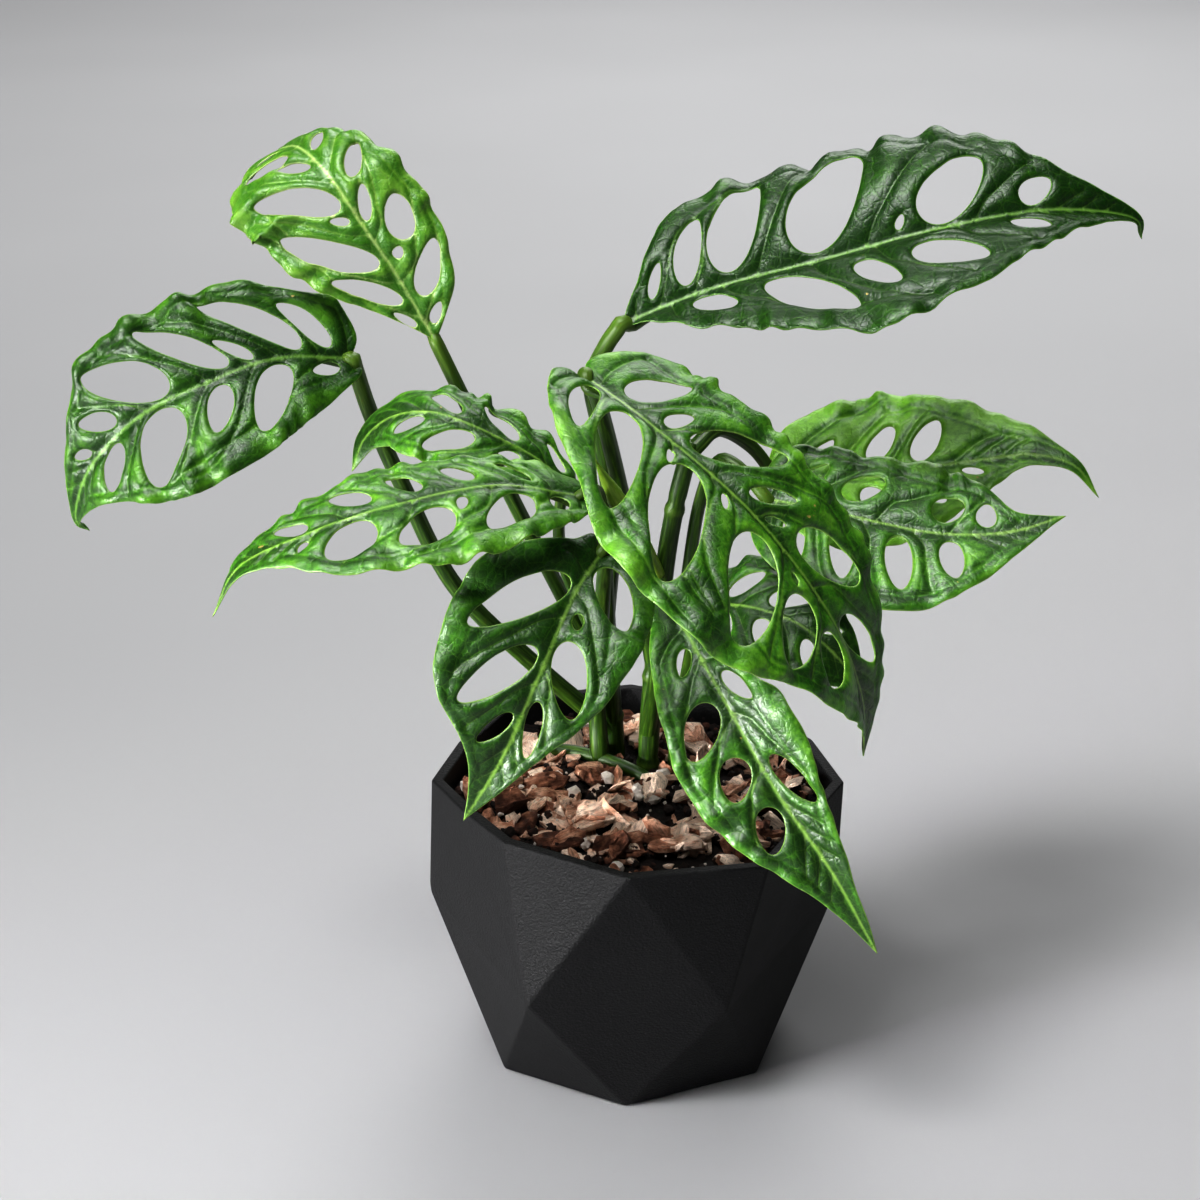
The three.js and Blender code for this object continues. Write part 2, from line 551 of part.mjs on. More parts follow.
// The flat blade as triangles: margin and holes as given, with points added inside
function meshFlat(blade, length) {
  const loops = [marginLoop(blade, length), ...blade.holes.map(holeLoop)];
  const within = (p) => inside(p, loops[0]) && !loops.slice(1).some((loop) => inside(p, loop));
  const lowest = Math.min(...blade.right.map((p) => p[1]));
  const highest = Math.max(...blade.left.map((p) => p[1]));
  const random = seeded(BLADE_SEED);
  for (let round = 0; round < 6; round += 1) {
    const points = loops.flat();
    const apart = (p, q) => Math.hypot(p[0] - q[0], p[1] - q[1]);
    const clear = (p, distance) => points.every((q) => apart(p, q) > distance);
    for (let x = MIDRIB_STEP; x < length - MIDRIB_CLEAR; x += MIDRIB_STEP) {
      if (clear([x, 0], MIDRIB_CLEAR)) points.push([x, 0]);
    }
    for (let x = -FIELD_STEP; x < length; x += FIELD_STEP) {
      for (let y = lowest; y < highest; y += FIELD_STEP) {
        const p = [x + FIELD_JITTER * random(), y + FIELD_JITTER * random()];
        if (within(p) && clear(p, FIELD_CLEAR)) points.push(p);
      }
    }
    const triangles = triangulate(points).filter((t) => {
      const middle = [0, 1].map((k) => t.reduce((sum, i) => sum + points[i][k], 0) / 3);
      return within(middle);
    });
    const edges = new Set(triangles.flatMap(([a, b, c]) => [`${a},${b}`, `${b},${c}`, `${c},${a}`]));
    // a loop's edge that is missing gets a point in its middle, and the blade is split again
    let missing = 0;
    let first = 0;
    loops.forEach((loop, which) => {
      const finer = [];
      loop.forEach((p, k) => {
        const i = first + k;
        const j = first + ((k + 1) % loop.length);
        finer.push(p);
        if (!edges.has(`${i},${j}`) && !edges.has(`${j},${i}`)) {
          const q = loop[(k + 1) % loop.length];
          finer.push([(p[0] + q[0]) / 2, (p[1] + q[1]) / 2]);
          missing += 1;
        }
      });
      first += loop.length;
      loops[which] = finer;
    });
    if (missing === 0) return { points, triangles };
  }
  throw new Error('a blade outline could not be followed');
}

function makeBlade(blade, extra = 0) {
  const surface = makeSurface(blade);
  const flat = meshFlat(blade, surface.length);
  const count = flat.points.length;
  const half = BLADE_THICKNESS / 2 + extra;
  const top = [];
  const bottom = [];
  flat.points.forEach(([x, y]) => {
    const point = surface.place(x, y);
    const normal = normalAt(surface, x, y);
    const onMidrib = y === 0 && x > 0 && x < surface.length;
    const rib = onMidrib ? MIDRIB_DEPTH * (1 - (MIDRIB_FADE * x) / surface.length) : 0;
    top.push(point.clone().addScaledVector(normal, half));
    bottom.push(point.clone().addScaledVector(normal, -half - rib));
  });
  const triangles = [];
  const edges = new Map();
  flat.triangles.forEach(([a, b, c]) => {
    triangles.push([a, b, c], [a + count, c + count, b + count]);
    [[a, b], [b, c], [c, a]].forEach(([p, q]) => {
      if (edges.has(`${q},${p}`)) edges.delete(`${q},${p}`);
      else edges.set(`${p},${q}`, [p, q]);
    });
  });
  edges.forEach(([p, q]) => triangles.push([p, p + count, q], [q, p + count, q + count]));
  return toGeometry([...top, ...bottom], triangles);
}

// Potting mix: fills the pot to just below the rim; chips and grains sit in its lumpy surface

function mixHeight(x, y) {
  const broad = Math.sin(x * 0.11 + 1) * Math.cos(y * 0.13);
  const fine = Math.sin(x * 0.23 - y * 0.19);
  return MIX_TOP + MIX_LUMPS * (broad + 0.6 * fine);
}

function lumpyBlock() {
  const cells = Math.ceil(BLOCK / MIX_CELL);
  const box = new THREE.BoxGeometry(BLOCK, BLOCK, BLOCK, cells, cells, 1);
  const place = box.attributes.position;
  for (let i = 0; i < place.count; i += 1) {
    if (place.getZ(i) > 0) place.setZ(i, mixHeight(place.getX(i), place.getY(i)));
  }
  return toSolid(box);
}

function chip(random) {
  const size = between(random, CHIP_SIZE) / 2;
  const outline = new THREE.Shape();
  for (let k = 0; k < CHIP_CORNERS; k += 1) {
    const turn = (2 * Math.PI * (k + 0.5 * random())) / CHIP_CORNERS;
    const x = size * between(random, CHIP_LENGTH) * Math.cos(turn);
    const y = size * between(random, CHIP_WIDTH) * Math.sin(turn);
    if (k === 0) outline.moveTo(x, y);
    else outline.lineTo(x, y);
  }
  const thickness = between(random, CHIP_THICKNESS);
  const flake = new THREE.ExtrudeGeometry(outline, { depth: thickness, bevelEnabled: false });
  flake.translate(0, 0, -thickness / 2);
  return flake;
}

function scatter(random) {
  const radius = SPREAD * Math.sqrt(random());
  const turn = 2 * Math.PI * random();
  const x = radius * Math.cos(turn);
  const y = radius * Math.sin(turn);
  return new THREE.Vector3(x, y, mixHeight(x, y));
}

function makeMix(stalks) {
  const random = seeded(MIX_SEED);
  const grains = [];
  for (let n = 0; n < CHIP_COUNT; n += 1) {
    const flake = chip(random);
    const tilt = new THREE.Euler(between(random, CHIP_TILT), between(random, CHIP_TILT), 7 * random());
    flake.applyMatrix4(new THREE.Matrix4().makeRotationFromEuler(tilt));
    const spot = scatter(random);
    flake.translate(spot.x, spot.y, spot.z + between(random, CHIP_LIFT));
    grains.push(toSolid(flake));
  }
  for (let n = 0; n < PERLITE_COUNT; n += 1) {
    const grain = new THREE.IcosahedronGeometry(between(random, PERLITE_RADIUS), 0);
    const spot = scatter(random);
    grain.translate(spot.x, spot.y, spot.z + between(random, PERLITE_LIFT));
    grains.push(toSolid(grain));
  }
  const surface = wasm.Manifold.union(grains).intersect(potInside(GAP + 1, POT_HEIGHT - 2));
  const body = potInside(GAP, POT_HEIGHT + 1).intersect(lumpyBlock()).add(surface);
  return largestPiece(body.subtract(wasm.Manifold.union(stalks)));
}

// The assembly

const STALK_GREEN = { colour: '#3f6b22', roughness: 0.42 };
// Shapes that keep other pieces clear of the canes, rings included, and of the runner
const sources = {
  cane_1: stalk({ ...CANES.cane_1, rings: [] }, RING_DEPTH + GAP),
  cane_2: stalk({ ...CANES.cane_2, rings: [] }, RING_DEPTH + GAP),
  runner: stalk(RUNNER, GAP),
};

addPiece('pot', fromSolid(makePot()), { colour: '#1c1d1f', roughness: 0.62 });
addPiece('cane_1', fromSolid(stalk(CANES.cane_1)), STALK_GREEN);
addPiece('cane_2', fromSolid(stalk(CANES.cane_2)), STALK_GREEN);
addPiece('runner', fromSolid(stalk(RUNNER)), STALK_GREEN);

const rolled = largestPiece(stalk(NEW_LEAF).subtract(sources.cane_1));
addPiece('new_leaf', fromSolid(rolled), { colour: '#86bf3c', roughness: 0.42 });

Object.entries(BLADES).forEach(([letter, blade]) => {
  addPiece(`blade_${letter}`, makeBlade(blade), { colour: blade.colour, roughness: 0.38 });
  const { from, route, radius } = PETIOLES[letter];
  const around = swollen(toSolid(makeBlade(blade))).add(toSolid(makeBlade(blade, GAP)));
  let petiole = stalk({ route: [...route, blade.midrib[0]], radius }).subtract(around);
  if (sources[from]) petiole = petiole.subtract(sources[from]);
  addPiece(`petiole_${letter}`, fromSolid(largestPiece(petiole)), STALK_GREEN);
});

const inMix = [sources.cane_1, sources.cane_2, sources.runner, stalk(PETIOLES.j, GAP)];
addPiece('potting_mix', fromSolid(makeMix(inMix)), { colour: '#5a3625', roughness: 0.95 });

export default plant;
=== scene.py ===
# Looks of a potted monstera obliqua: thin leaf blades full of holes on arching petioles, two canes
# and a runner in bark potting mix, in a faceted black pot. Lengths in the tables are millimetres.

import math
import random

import bmesh
import bpy
import numpy as np
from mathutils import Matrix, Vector
from mathutils.bvhtree import BVHTree
from mathutils.geometry import delaunay_2d_cdt


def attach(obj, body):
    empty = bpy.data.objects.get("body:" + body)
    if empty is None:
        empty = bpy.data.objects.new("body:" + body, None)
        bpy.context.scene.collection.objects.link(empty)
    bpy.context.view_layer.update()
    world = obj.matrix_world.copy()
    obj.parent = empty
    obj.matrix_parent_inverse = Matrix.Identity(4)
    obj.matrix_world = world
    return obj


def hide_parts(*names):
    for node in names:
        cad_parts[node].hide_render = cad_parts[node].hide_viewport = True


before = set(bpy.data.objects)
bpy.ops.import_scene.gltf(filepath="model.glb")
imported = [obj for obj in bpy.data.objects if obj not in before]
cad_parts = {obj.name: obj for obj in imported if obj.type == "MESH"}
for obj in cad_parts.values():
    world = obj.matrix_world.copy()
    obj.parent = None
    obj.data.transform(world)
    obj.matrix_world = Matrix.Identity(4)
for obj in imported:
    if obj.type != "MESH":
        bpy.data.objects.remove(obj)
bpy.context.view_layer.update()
MM = 0.001
TINY = 1e-9

# The camera, as the photograph was taken
LENS = 80
CAMERA_AT = (-0.013, -0.930, 0.560)
CAMERA_PITCH = 22  # degrees below the horizon

# Lights: the kind, the place, the point looked at and the settings
LIGHTS = {
    "key": ("SUN", (0, 0, 0), (0.42, 0.5, -1.05), dict(energy=2.75, angle=math.radians(16))),
    "strip": ("AREA", (-1.0, -0.58, 0.16), (0, 0, 0.05), dict(
        energy=2.2, shape="RECTANGLE", size=0.4, size_y=0.2, spread=math.radians(40),
    )),
    "top": ("AREA", (-0.3, -0.45, 1.75), (0, 0, 0.2), dict(energy=25, size=1.3)),
    "back": ("AREA", (0.3, 2.1, 1.6), (0, 1.2, 0), dict(energy=42, size=1.6)),
}
WORLD_COLOUR = (0.5, 0.51, 0.52, 1)
WORLD_POWER = 0.06
GAMMA = 0.73
FLOOR_REACH = 60  # metres

# Leaf blades. midrib: from the petiole joint to the tip. face: the way the upper side looks, at the
# base and at the tip. fold: the angles at which the left and right halves leave the midrib; curl:
# how much they change for each millimetre; tip_fold, tip_curl: the same at the tip, where it
# differs. left, right: the margins in the flat blade, x along the midrib and y across it. holes:
# the two ends and the width. ruffle: height, length and phase of the margin's waves. slot: the
# material; tone: how much brighter the blade is painted, partly its own colour and partly painted
# light and shade for how the blade is lit.
BLADES = {}
BLADES["a"] = dict(
    midrib=((-73, 10, 282), (-87, 4, 310), (-98, 2, 328), (-109, 6, 344), (-120, 20, 351),
        (-128, 38, 348), (-137, 52, 341)),
    face=((-0.1, -0.9, 0.4), (-0.45, 0.05, 0.67)),
    fold=(12, 20), curl=(-0.7, -1), tip_fold=(12, 5), tip_curl=(-1.2, -3.5),
    left=((8, 4), (20, 12), (32, 21), (46, 29), (60, 34), (75, 37), (92, 37), (107, 31), (119, 20),
        (127, 8)),
    right=((8, -8), (18, -17), (30, -22), (46, -26), (59, -26), (70, -25), (82, -22), (95, -17),
        (108, -11), (120, -5)),
    holes=((9, 3, 18, 8, 3), (20, 3, 42, 21, 7), (37, 3, 64, 29, 10), (56, 3, 60, 9, 3),
        (62, 3, 86, 28, 11), (82, 3, 92, 12, 6), (94, 6, 106, 22, 8), (109, 3, 117, 12, 6),
        (7, -2, 14, -9, 4), (19, -4, 35, -19, 9), (36, -3, 39, -7, 4), (40, -10, 56, -16, 11),
        (53, -2, 65, -8, 5), (69, -6, 80, -17, 6), (88, -3, 97, -10, 5)),
    ruffle=(2, 17, 0), slot="leaf_light", tone=0,
)
BLADES["b"] = dict(
    midrib=((-103, 0, 279), (-129, -10, 282), (-153, -20, 276), (-177, -25, 265), (-197, -20, 244),
        (-206, -8, 221), (-203, 0, 212)),
    face=((0, -0.8, 0.6), (-0.3, -0.8, 0.5)),
    fold=(14, 20), curl=(-0.8, -0.8),
    left=((-3, 6), (5, 14), (14, 22), (25, 28), (41, 33), (58, 36), (76, 37), (91, 32), (106, 21),
        (120, 12), (137, 4)),
    right=((-2, -8), (2, -17), (8, -23), (19, -24), (33, -31), (48, -34), (64, -34), (80, -33),
        (93, -29), (103, -19), (115, -11), (132, -4)),
    holes=((8, -4, 25, -20, 7), (19, -3, 46, -28, 9), (36, -2, 47, -13, 4), (45, -3, 71, -27, 9),
        (68, -3, 92, -24, 14), (90, -4, 103, -13, 7), (107, -3, 114, -7, 4), (5, 3, 15, 6, 6),
        (25, 3, 45, 26, 14), (50, 3, 59, 20, 9), (70, 3, 89, 27, 18), (94, 3, 109, 14, 11)),
    ruffle=(2.2, 19, 1), slot="leaf_dark", tone=0.5,
)
BLADES["c"] = dict(
    midrib=((-19, -55, 246), (-49, -75, 257), (-84, -88, 254), (-111, -92, 246), (-135, -90, 233),
        (-146, -84, 212)),
    face=((0, -0.36, 0.93), (0, -0.38, 0.92)),
    fold=(-4, -2), curl=(-0.3, -0.2),
    left=((-2, 6), (5, 12), (14, 17), (25, 22), (37, 27), (50, 30), (64, 30), (78, 27), (92, 24),
        (104, 18), (114, 11), (127, 6), (142, 2)),
    right=((-5, -7), (2, -16), (12, -20), (26, -19), (44, -18), (64, -20), (79, -22), (94, -18),
        (108, -16), (121, -10), (132, -6), (145, -2)),
    holes=((19, -6, 31, -13, 6), (43, -5, 53, -13, 6), (62, -5, 73, -14, 6), (80, -6, 95, -13, 7),
        (104, -3, 117, -7, 5), (9, 3, 17, 9, 7), (25, 6, 46, 18, 12), (50, 3, 53, 9, 4),
        (56, 9, 76, 17, 13), (82, 6, 100, 13, 14), (105, 3, 109, 6, 3)),
    ruffle=(1.6, 18, 2), slot="leaf", tone=0.4,
)
BLADES["d"] = dict(
    midrib=((-23, -20, 237), (-37, -24, 250), (-58, -26, 262), (-74, -22, 266), (-88, -16, 262),
        (-98, -14, 253), (-103, -16, 241)),
    face=((0, -0.5, 0.85), (-0.3, -0.5, 0.85)),
    fold=(0, -5), curl=(-0.6, -1.5),
    left=((-2, 6), (8, 11), (21, 14), (43, 19), (62, 20), (77, 14), (92, 6)),
    right=((-2, -6), (8, -14), (18, -20), (30, -21), (46, -19), (62, -16), (78, -12), (92, -5)),
    holes=((6, 3, 18, 8, 5), (24, 3, 34, 11, 6), (42, 4, 58, 15, 8), (62, 3, 75, 8, 6),
        (4, -4, 14, -11, 6), (26, -4, 42, -12, 7), (50, -4, 64, -10, 6)),
    ruffle=(1.5, 15, 0.5), slot="leaf", tone=0.35,
)
BLADES["e"] = dict(
    midrib=((-12, -62, 228), (-22, -85, 220), (-34, -105, 198), (-46, -112, 172), (-60, -108, 146)),
    face=((0.25, -0.72, 0.65), (0.1, -0.95, 0.25)),
    fold=(18, 18), curl=(-0.7, -0.7),
    left=((-3, 6), (-1, 14), (7, 23), (20, 28), (35, 29), (48, 27), (60, 24), (71, 19), (81, 13),
        (92, 8), (105, 4)),
    right=((-3, -6), (6, -11), (15, -18), (24, -29), (34, -36), (47, -38), (60, -37), (70, -34),
        (79, -27), (86, -18), (95, -10), (107, -4)),
    holes=((22, -3, 52, -30, 12), (50, -4, 75, -23, 11), (73, -3, 86, -11, 6), (7, 4, 31, 21, 13),
        (32, 4, 38, 6, 4), (43, 4, 67, 16, 12), (66, 3, 85, 7, 6)),
    ruffle=(1.8, 20, 2.5), slot="leaf", tone=-0.3,
)
BLADES["f"] = dict(
    midrib=((-18, -60, 291), (4, -85, 282), (37, -105, 258), (63, -108, 224), (76, -100, 191),
        (79, -88, 161)),
    face=((0.42, -0.55, 0.75), (0.68, -0.55, 0.5)),
    fold=(12, 22), curl=(-0.6, -0.8),
    left=((-6, 6), (-5, 16), (1, 28), (12, 36), (28, 37), (45, 35), (61, 38), (76, 35), (92, 35),
        (109, 35), (122, 33), (135, 27), (149, 23), (162, 16), (176, 9)),
    right=((-6, -8), (0, -17), (10, -25), (24, -35), (40, -45), (54, -55), (70, -59), (87, -58),
        (100, -56), (113, -49), (127, -37), (142, -28), (157, -18), (172, -9)),
    holes=((15, 5, 29, 25, 16), (37, 4, 42, 14, 6), (48, 5, 76, 28, 14), (75, 5, 89, 18, 6),
        (85, 3, 92, 7, 3), (97, 8, 127, 20, 15), (130, 4, 156, 12, 10), (9, -4, 28, -29, 9),
        (28, -5, 52, -45, 14), (47, -3, 51, -12, 3), (55, -7, 77, -51, 18), (70, -3, 74, -11, 3),
        (87, -7, 103, -46, 19), (104, -4, 107, -9, 4), (112, -9, 120, -36, 17),
        (131, -5, 136, -24, 16)),
    ruffle=(2.2, 23, 0), slot="leaf", tone=0.3,
)
BLADES["g"] = dict(
    midrib=((-5, 0, 292), (27, 0, 305), (66, -5, 317), (104, -10, 329), (144, -5, 335), (176, 5, 330),
        (182, 8, 321)),
    face=((0, -0.65, 0.75), (0, -0.65, 0.75)),
    fold=(32, 28), curl=(-1.6, -0.5),
    left=((4, 5), (12, 14), (20, 26), (28, 37), (38, 48), (51, 56), (67, 60), (85, 60), (104, 57),
        (122, 50), (138, 40), (150, 28), (161, 18), (174, 10), (190, 4)),
    right=((8, -4), (18, -12), (28, -20), (42, -26), (55, -32), (69, -36), (82, -41), (94, -45),
        (106, -42), (117, -37), (129, -33), (140, -26), (152, -21), (164, -14), (177, -8), (191, -3)),
    holes=((13, 4, 20, 16, 4), (26, 4, 35, 30, 9), (41, 4, 54, 44, 17), (70, 4, 93, 44, 24),
        (104, 3, 107, 8, 3), (114, 4, 138, 24, 18), (149, 4, 160, 11, 9), (27, -4, 44, -14, 9),
        (55, -6, 88, -31, 14), (88, -8, 103, -25, 9), (108, -9, 131, -21, 13), (143, -4, 156, -10, 7)),
    ruffle=(2.2, 21, 1), slot="leaf_dark", tone=-0.42,
)
BLADES["h"] = dict(
    midrib=((54, 32, 222), (86, 26, 224), (115, 20, 231), (137, 18, 235), (150, 15, 237),
        (164, 10, 234), (173, 6, 223)),
    face=((0, -0.6, 0.8), (0.1, -0.6, 0.8)),
    fold=(8, 8), curl=(-0.5, -0.5),
    left=((-3, 8), (1, 20), (12, 32), (25, 37), (39, 39), (51, 36), (63, 32), (74, 28), (84, 21),
        (94, 14), (106, 6), (119, 2)),
    right=((-3, -8), (4, -19), (14, -27), (28, -32), (43, -32), (58, -28), (71, -21), (83, -13),
        (93, -7), (106, -4), (119, -2)),
    holes=((36, 7, 46, 21, 9), (54, 4, 64, 20, 10), (12, 5, 21, 17, 6), (14, -5, 24, -20, 8),
        (34, -5, 45, -22, 9), (54, -4, 64, -17, 7), (71, -3, 79, -6, 4)),
    ruffle=(1.6, 18, 0), slot="leaf", tone=1.0,
)
BLADES["i"] = dict(
    midrib=((48, -8, 228), (76, -20, 226), (107, -28, 222), (134, -28, 222), (156, -22, 226)),
    face=((0, -0.6, 0.8), (0.1, -0.6, 0.8)),
    fold=(10, 6), curl=(-0.6, -0.5),
    left=((-4, 9), (-2, 19), (6, 26), (18, 28), (32, 27), (46, 29), (60, 30), (75, 25), (87, 18),
        (95, 8), (105, 3)),
    right=((-3, -9), (3, -21), (15, -30), (32, -36), (50, -36), (63, -32), (75, -23), (85, -15),
        (94, -8), (104, -3)),
    holes=((8, 4, 18, 19, 8), (27, 8, 41, 17, 10), (62, 8, 75, 12, 10), (82, 3, 85, 12, 8),
        (12, -5, 20, -24, 8), (31, -5, 37, -27, 9), (51, -4, 56, -26, 9), (69, -3, 71, -19, 8)),
    ruffle=(1.5, 19, 1), slot="leaf", tone=0.25,
)
BLADES["j"] = dict(
    midrib=((24, -20, 191), (40, -32, 195), (57, -42, 193), (71, -48, 183), (82, -50, 169)),
    face=((0, -0.6, 0.8), (0.1, -0.6, 0.8)),
    fold=(6, 6), curl=(-0.5, -0.5),
    left=((-2, 6), (3, 15), (11, 22), (25, 23), (40, 20), (53, 15), (64, 9)),
    right=((-2, -6), (6, -13), (17, -20), (30, -25), (43, -25), (55, -20), (66, -10)),
    holes=((11, 4, 21, 16, 7), (28, 4, 42, 14, 8), (48, 3, 56, 9, 4), (10, -3, 20, -14, 6),
        (28, -4, 40, -18, 8), (48, -3, 57, -13, 6)),
    ruffle=(1.4, 16, 2), slot="leaf", tone=-0.05,
)
BLADES["k"] = dict(
    midrib=((11, -58, 208), (28, -85, 185), (48, -103, 154), (67, -112, 128), (84, -112, 96)),
    face=((-0.3, -0.85, 0.5), (-0.35, -0.9, 0.35)),
    fold=(22, 18), curl=(-0.7, -0.6),
    left=((-2, 5), (9, 7), (22, 6), (33, 9), (42, 15), (51, 20), (62, 21), (73, 20), (84, 17), (97, 13),
        (109, 9), (123, 5), (137, 3)),
    right=((-2, -6), (8, -11), (18, -16), (32, -21), (44, -24), (57, -27), (71, -27), (84, -24),
        (97, -19), (109, -14), (121, -9), (135, -4)),
    holes=((35, 4, 48, 10, 6), (68, 5, 90, 11, 8), (20, -3, 29, -9, 5), (42, -5, 57, -20, 12),
        (63, -6, 76, -14, 11), (83, -5, 97, -13, 10)),
    ruffle=(1.4, 19, 0), slot="leaf", tone=0.1,
)
# Points of a blade's mesh: how far apart they are along edges and veins and in between, and rows of
# them at these distances from a hole, a margin, the midrib and a vein
MARGIN_STEP = 1.4
HOLE_STEP = 1.2
VEIN_STEP = 1.5
FIELD_STEP = 1.9
HOLE_ROWS = (0.4, 0.85, 1.4, 2.2, 3.3)
MARGIN_ROWS = (0.5, 1.2, 2.2)
MIDRIB_ROWS = (0.5, 1.1, 2.0, 3.2)
VEIN_ROWS = (0.55, 1.2)
LEAST_APART = dict(edge=0.05, vein=0.4, row=0.5, midrib=0.6, field=1.3)  # between points
EDGE_GAP = 0.38  # between an edge and any other point
HOLE_TAPER = 0.18  # how much narrower a hole is at its far end
HOLE_POINTS = 14  # at least

# Side veins
LONG_HOLE = 8.5  # a hole of this length has veins beside it
STRIP_SHARES = (0.15, 0.5, 0.85)
VEIN_SLANT = 5  # how far nearer to the base a vein leaves the midrib
FIRST_VEIN = 8  # before the first hole
TIP_VEINS = (4, 13, 22)  # past the last hole
TIP_CLEAR = 14
VEIN_TURN = 0.055  # towards the tip at each step
VEIN_STEPS = 40
VEIN_MARGIN = 2.2

# Relief of a blade. In each pair: how high or deep a form is, and how wide
BLADE_HALF = 0.3  # half the thickness
EDGE_THIN = (0.5, 0.9)
PUCKER = 0.5  # how far a blade bulges between its veins
PUCKER_GAPS = (3.2, 1.6)  # from veins and from edges
CROSS_WAVE = 0.15
VEIN_FURROW = (0.45, 0.8)
VEIN_VALLEY = (0.4, 2.0)
RIM_FURROW = (0.3, 1.0)
HOLE_LIP = (0.6, 0.9)
MARGIN_LIP = (0.35, 1.1)
SCALLOP = (0.75, 5)
MIDRIB_VALLEY = (1.1, 3.0)
MIDRIB_CREST = (0.55, 0.75)
MIDRIB_KEEL = (1.3, 1.0)
KEEL_TAPER = 0.8
VEIN_KEEL = (0.35, 0.8)
TIP_FADE = 40
TIP_RELIEF = 0.15  # the share of the relief that is left at the tip

# Stalks: the radius at the foot and at the top, then the points of the middle line from the foot up.
# A cane starts with the places of its node rings, as shares of its length.
CANES = {
    "cane_1": ((0.2, 0.42, 0.62, 0.84), (4.4, 3.4), (5, 26, 70), (7, 23, 130), (11, 16, 184),
        (15, 11, 216), (21, 9, 244)),
    "cane_2": ((0.55, 0.8), (4.8, 3.6), (-6, 38, 70), (-8, 37, 120), (-11, 34, 160)),
}
RUNNER = ((2.6, 2.8), (-52, 40, 96), (-40, 36, 104), (-26, 31, 107), (-10, 22, 107), (5, 12, 104),
    (14, 6, 96))
NEW_LEAF = ((2.6, 3.4), (9, 12, 190), (1, -3, 212), (-8, -16, 232), (-15, -26, 249))
PETIOLES = {
    "a": ((3.2, 2.6), (-8, 38, 130), (-27, 36, 170), (-45, 20, 215), (-62, 13, 256)),
    "b": ((3.6, 3), (-7, 38, 112), (-38, 26, 146), (-68, 14, 184), (-86, 9, 225), (-97, 5, 255)),
    "c": ((2.8, 2.4), (-8, 37, 116), (-10, 8, 182), (-13, -24, 233)),
    "d": ((2.6, 2.2), (-9, 36, 140), (-27, 24, 190), (-27, -2, 227)),
    "e": ((3.4, 2.7), (-13, 25, 107), (-14, 24, 135), (-12, -5, 185), (-11, -38, 217)),
    "f": ((3.2, 2.8), (8, 21, 150), (-3, 6, 215), (-13, -24, 268)),
    "g": ((3.2, 3.2), (-11, 34, 158), (-8, 30, 200), (-13, 20, 244), (-16, 12, 266), (-11, 3, 282)),
    "h": ((2.8, 2.4), (21, 9, 240), (31, 14, 247), (44, 24, 237)),
    "i": ((2.8, 2.5), (9, 20, 140), (18, 17, 170), (24, 12, 216), (31, 4, 238), (40, -3, 236)),
    "j": ((2.8, 2.2), (15, 22, 80), (17, 17, 120), (21, -2, 162)),
    "k": ((3, 2.4), (6, 24, 118), (9, -2, 160), (11, -38, 196)),
}
TUBE_SIDES = 20
TUBE_STEP = 1.6
NEW_LEAF_STEP = 1.2
RUN_ON = (3, 6, 10, 15, 21)  # how far a petiole runs on under its blade
RUN_ON_THIN = (0.9, 0.3)  # shares of its radius there
RUN_ON_DEPTH = 1.3
SHEATH = (0.5, 16)  # how much thicker a petiole's foot is, and how far up
NODE_RING = (0.55, 1.6)  # how far a ring stands out, and its width
NODE_NECK = (0.3, 1.6)
NECK_ABOVE = 3.4
CANE_TOP = 0.75
CANE_FURROW = 0.05  # shares of the radius
PETIOLE_FURROW = 0.14
FURROW_WIDTH = 0.42
SHOULDER = (0.3, 0.8, 0.3)  # beside the furrow: share of its depth, place and width

# Pot and potting mix
POT_EDGE = 1.3
MIX_TOP = 103.5
MIX_FLOOR = 7.3
MIX_GAP = 0.4  # between the mix and the pot's wall
MIX_TURNS = 300
MIX_RINGS = 56
BED_DEPTH = 2.2  # how far the bed lies below the chips on it
BIT_GAP = 0.8  # between a chip and the wall
CANE_GAP = 5
# What lies on the bed, bark chips, crumbs and perlite. size: the least, how much more it can be and
# how rare large ones are; lift: how high it lies; lump: the form of a loose grain
MIX_BITS = (
    dict(count=360, size=(5, 19, 1.6), lift=(-2, 2.6), lean=0.55, shade=(0.33, 0.89)),
    dict(count=900, size=(1.3, 3, 2), lift=(-1.6, 1.2), lean=0.6, shade=(0.03, 0.3), outward=0.4,
        lump=dict(rough=0.32)),
    dict(count=42, size=(2.6, 4.2, 2), lift=(-0.2, 2.4), lean=0.6,
        lump=dict(rough=0.24, sides=7, flat=0.75)),
    dict(count=130, size=(0.7, 1, 1), lift=(-0.6, 1.6), lean=0.6,
        lump=dict(rough=0.25, rings=2, sides=5)),
)
# The bed's tint: near black, partly the dark soil and partly painted shade in the gaps between the chips
BED_SHADE = 0.02
PERLITE_SHADE = 1.0
FLAKE_RINGS = (1, 0.97, 0.66, 0.33)

# Colours. Of a leaf: its deep, middle and light parts, the veins and the underside, then how rough
# and how glossy it is. The vein colour is also painted highlight along the edges, and the underside
# colour painted shade round the holes.
LEAF_LOOKS = {
    "leaf": (
        (0.01, 0.054, 0.001), (0.041, 0.155, 0.005), (0.19, 0.42, 0.035),
        (0.25, 0.42, 0.08), (0.02, 0.065, 0.007), 0.44, 0.82,
    ),
    "leaf_dark": (
        (0.006, 0.036, 0.001), (0.022, 0.088, 0.003), (0.11, 0.28, 0.02),
        (0.17, 0.33, 0.06), (0.014, 0.045, 0.006), 0.42, 0.6,
    ),
    "leaf_light": (
        (0.06, 0.2, 0.012), (0.15, 0.33, 0.035), (0.3, 0.5, 0.09),
        (0.5, 0.64, 0.24), (0.035, 0.09, 0.008), 0.41, 0.82,
    ),
}
TAN_SPOT = (0.34, 0.27, 0.08)
STALK_TONES = ((0.012, 0.038, 0.002), (0.038, 0.095, 0.006), (0.14, 0.24, 0.03))
YOUNG_TONES = ((0.2, 0.36, 0.03), (0.3, 0.48, 0.05), (0.45, 0.6, 0.12))
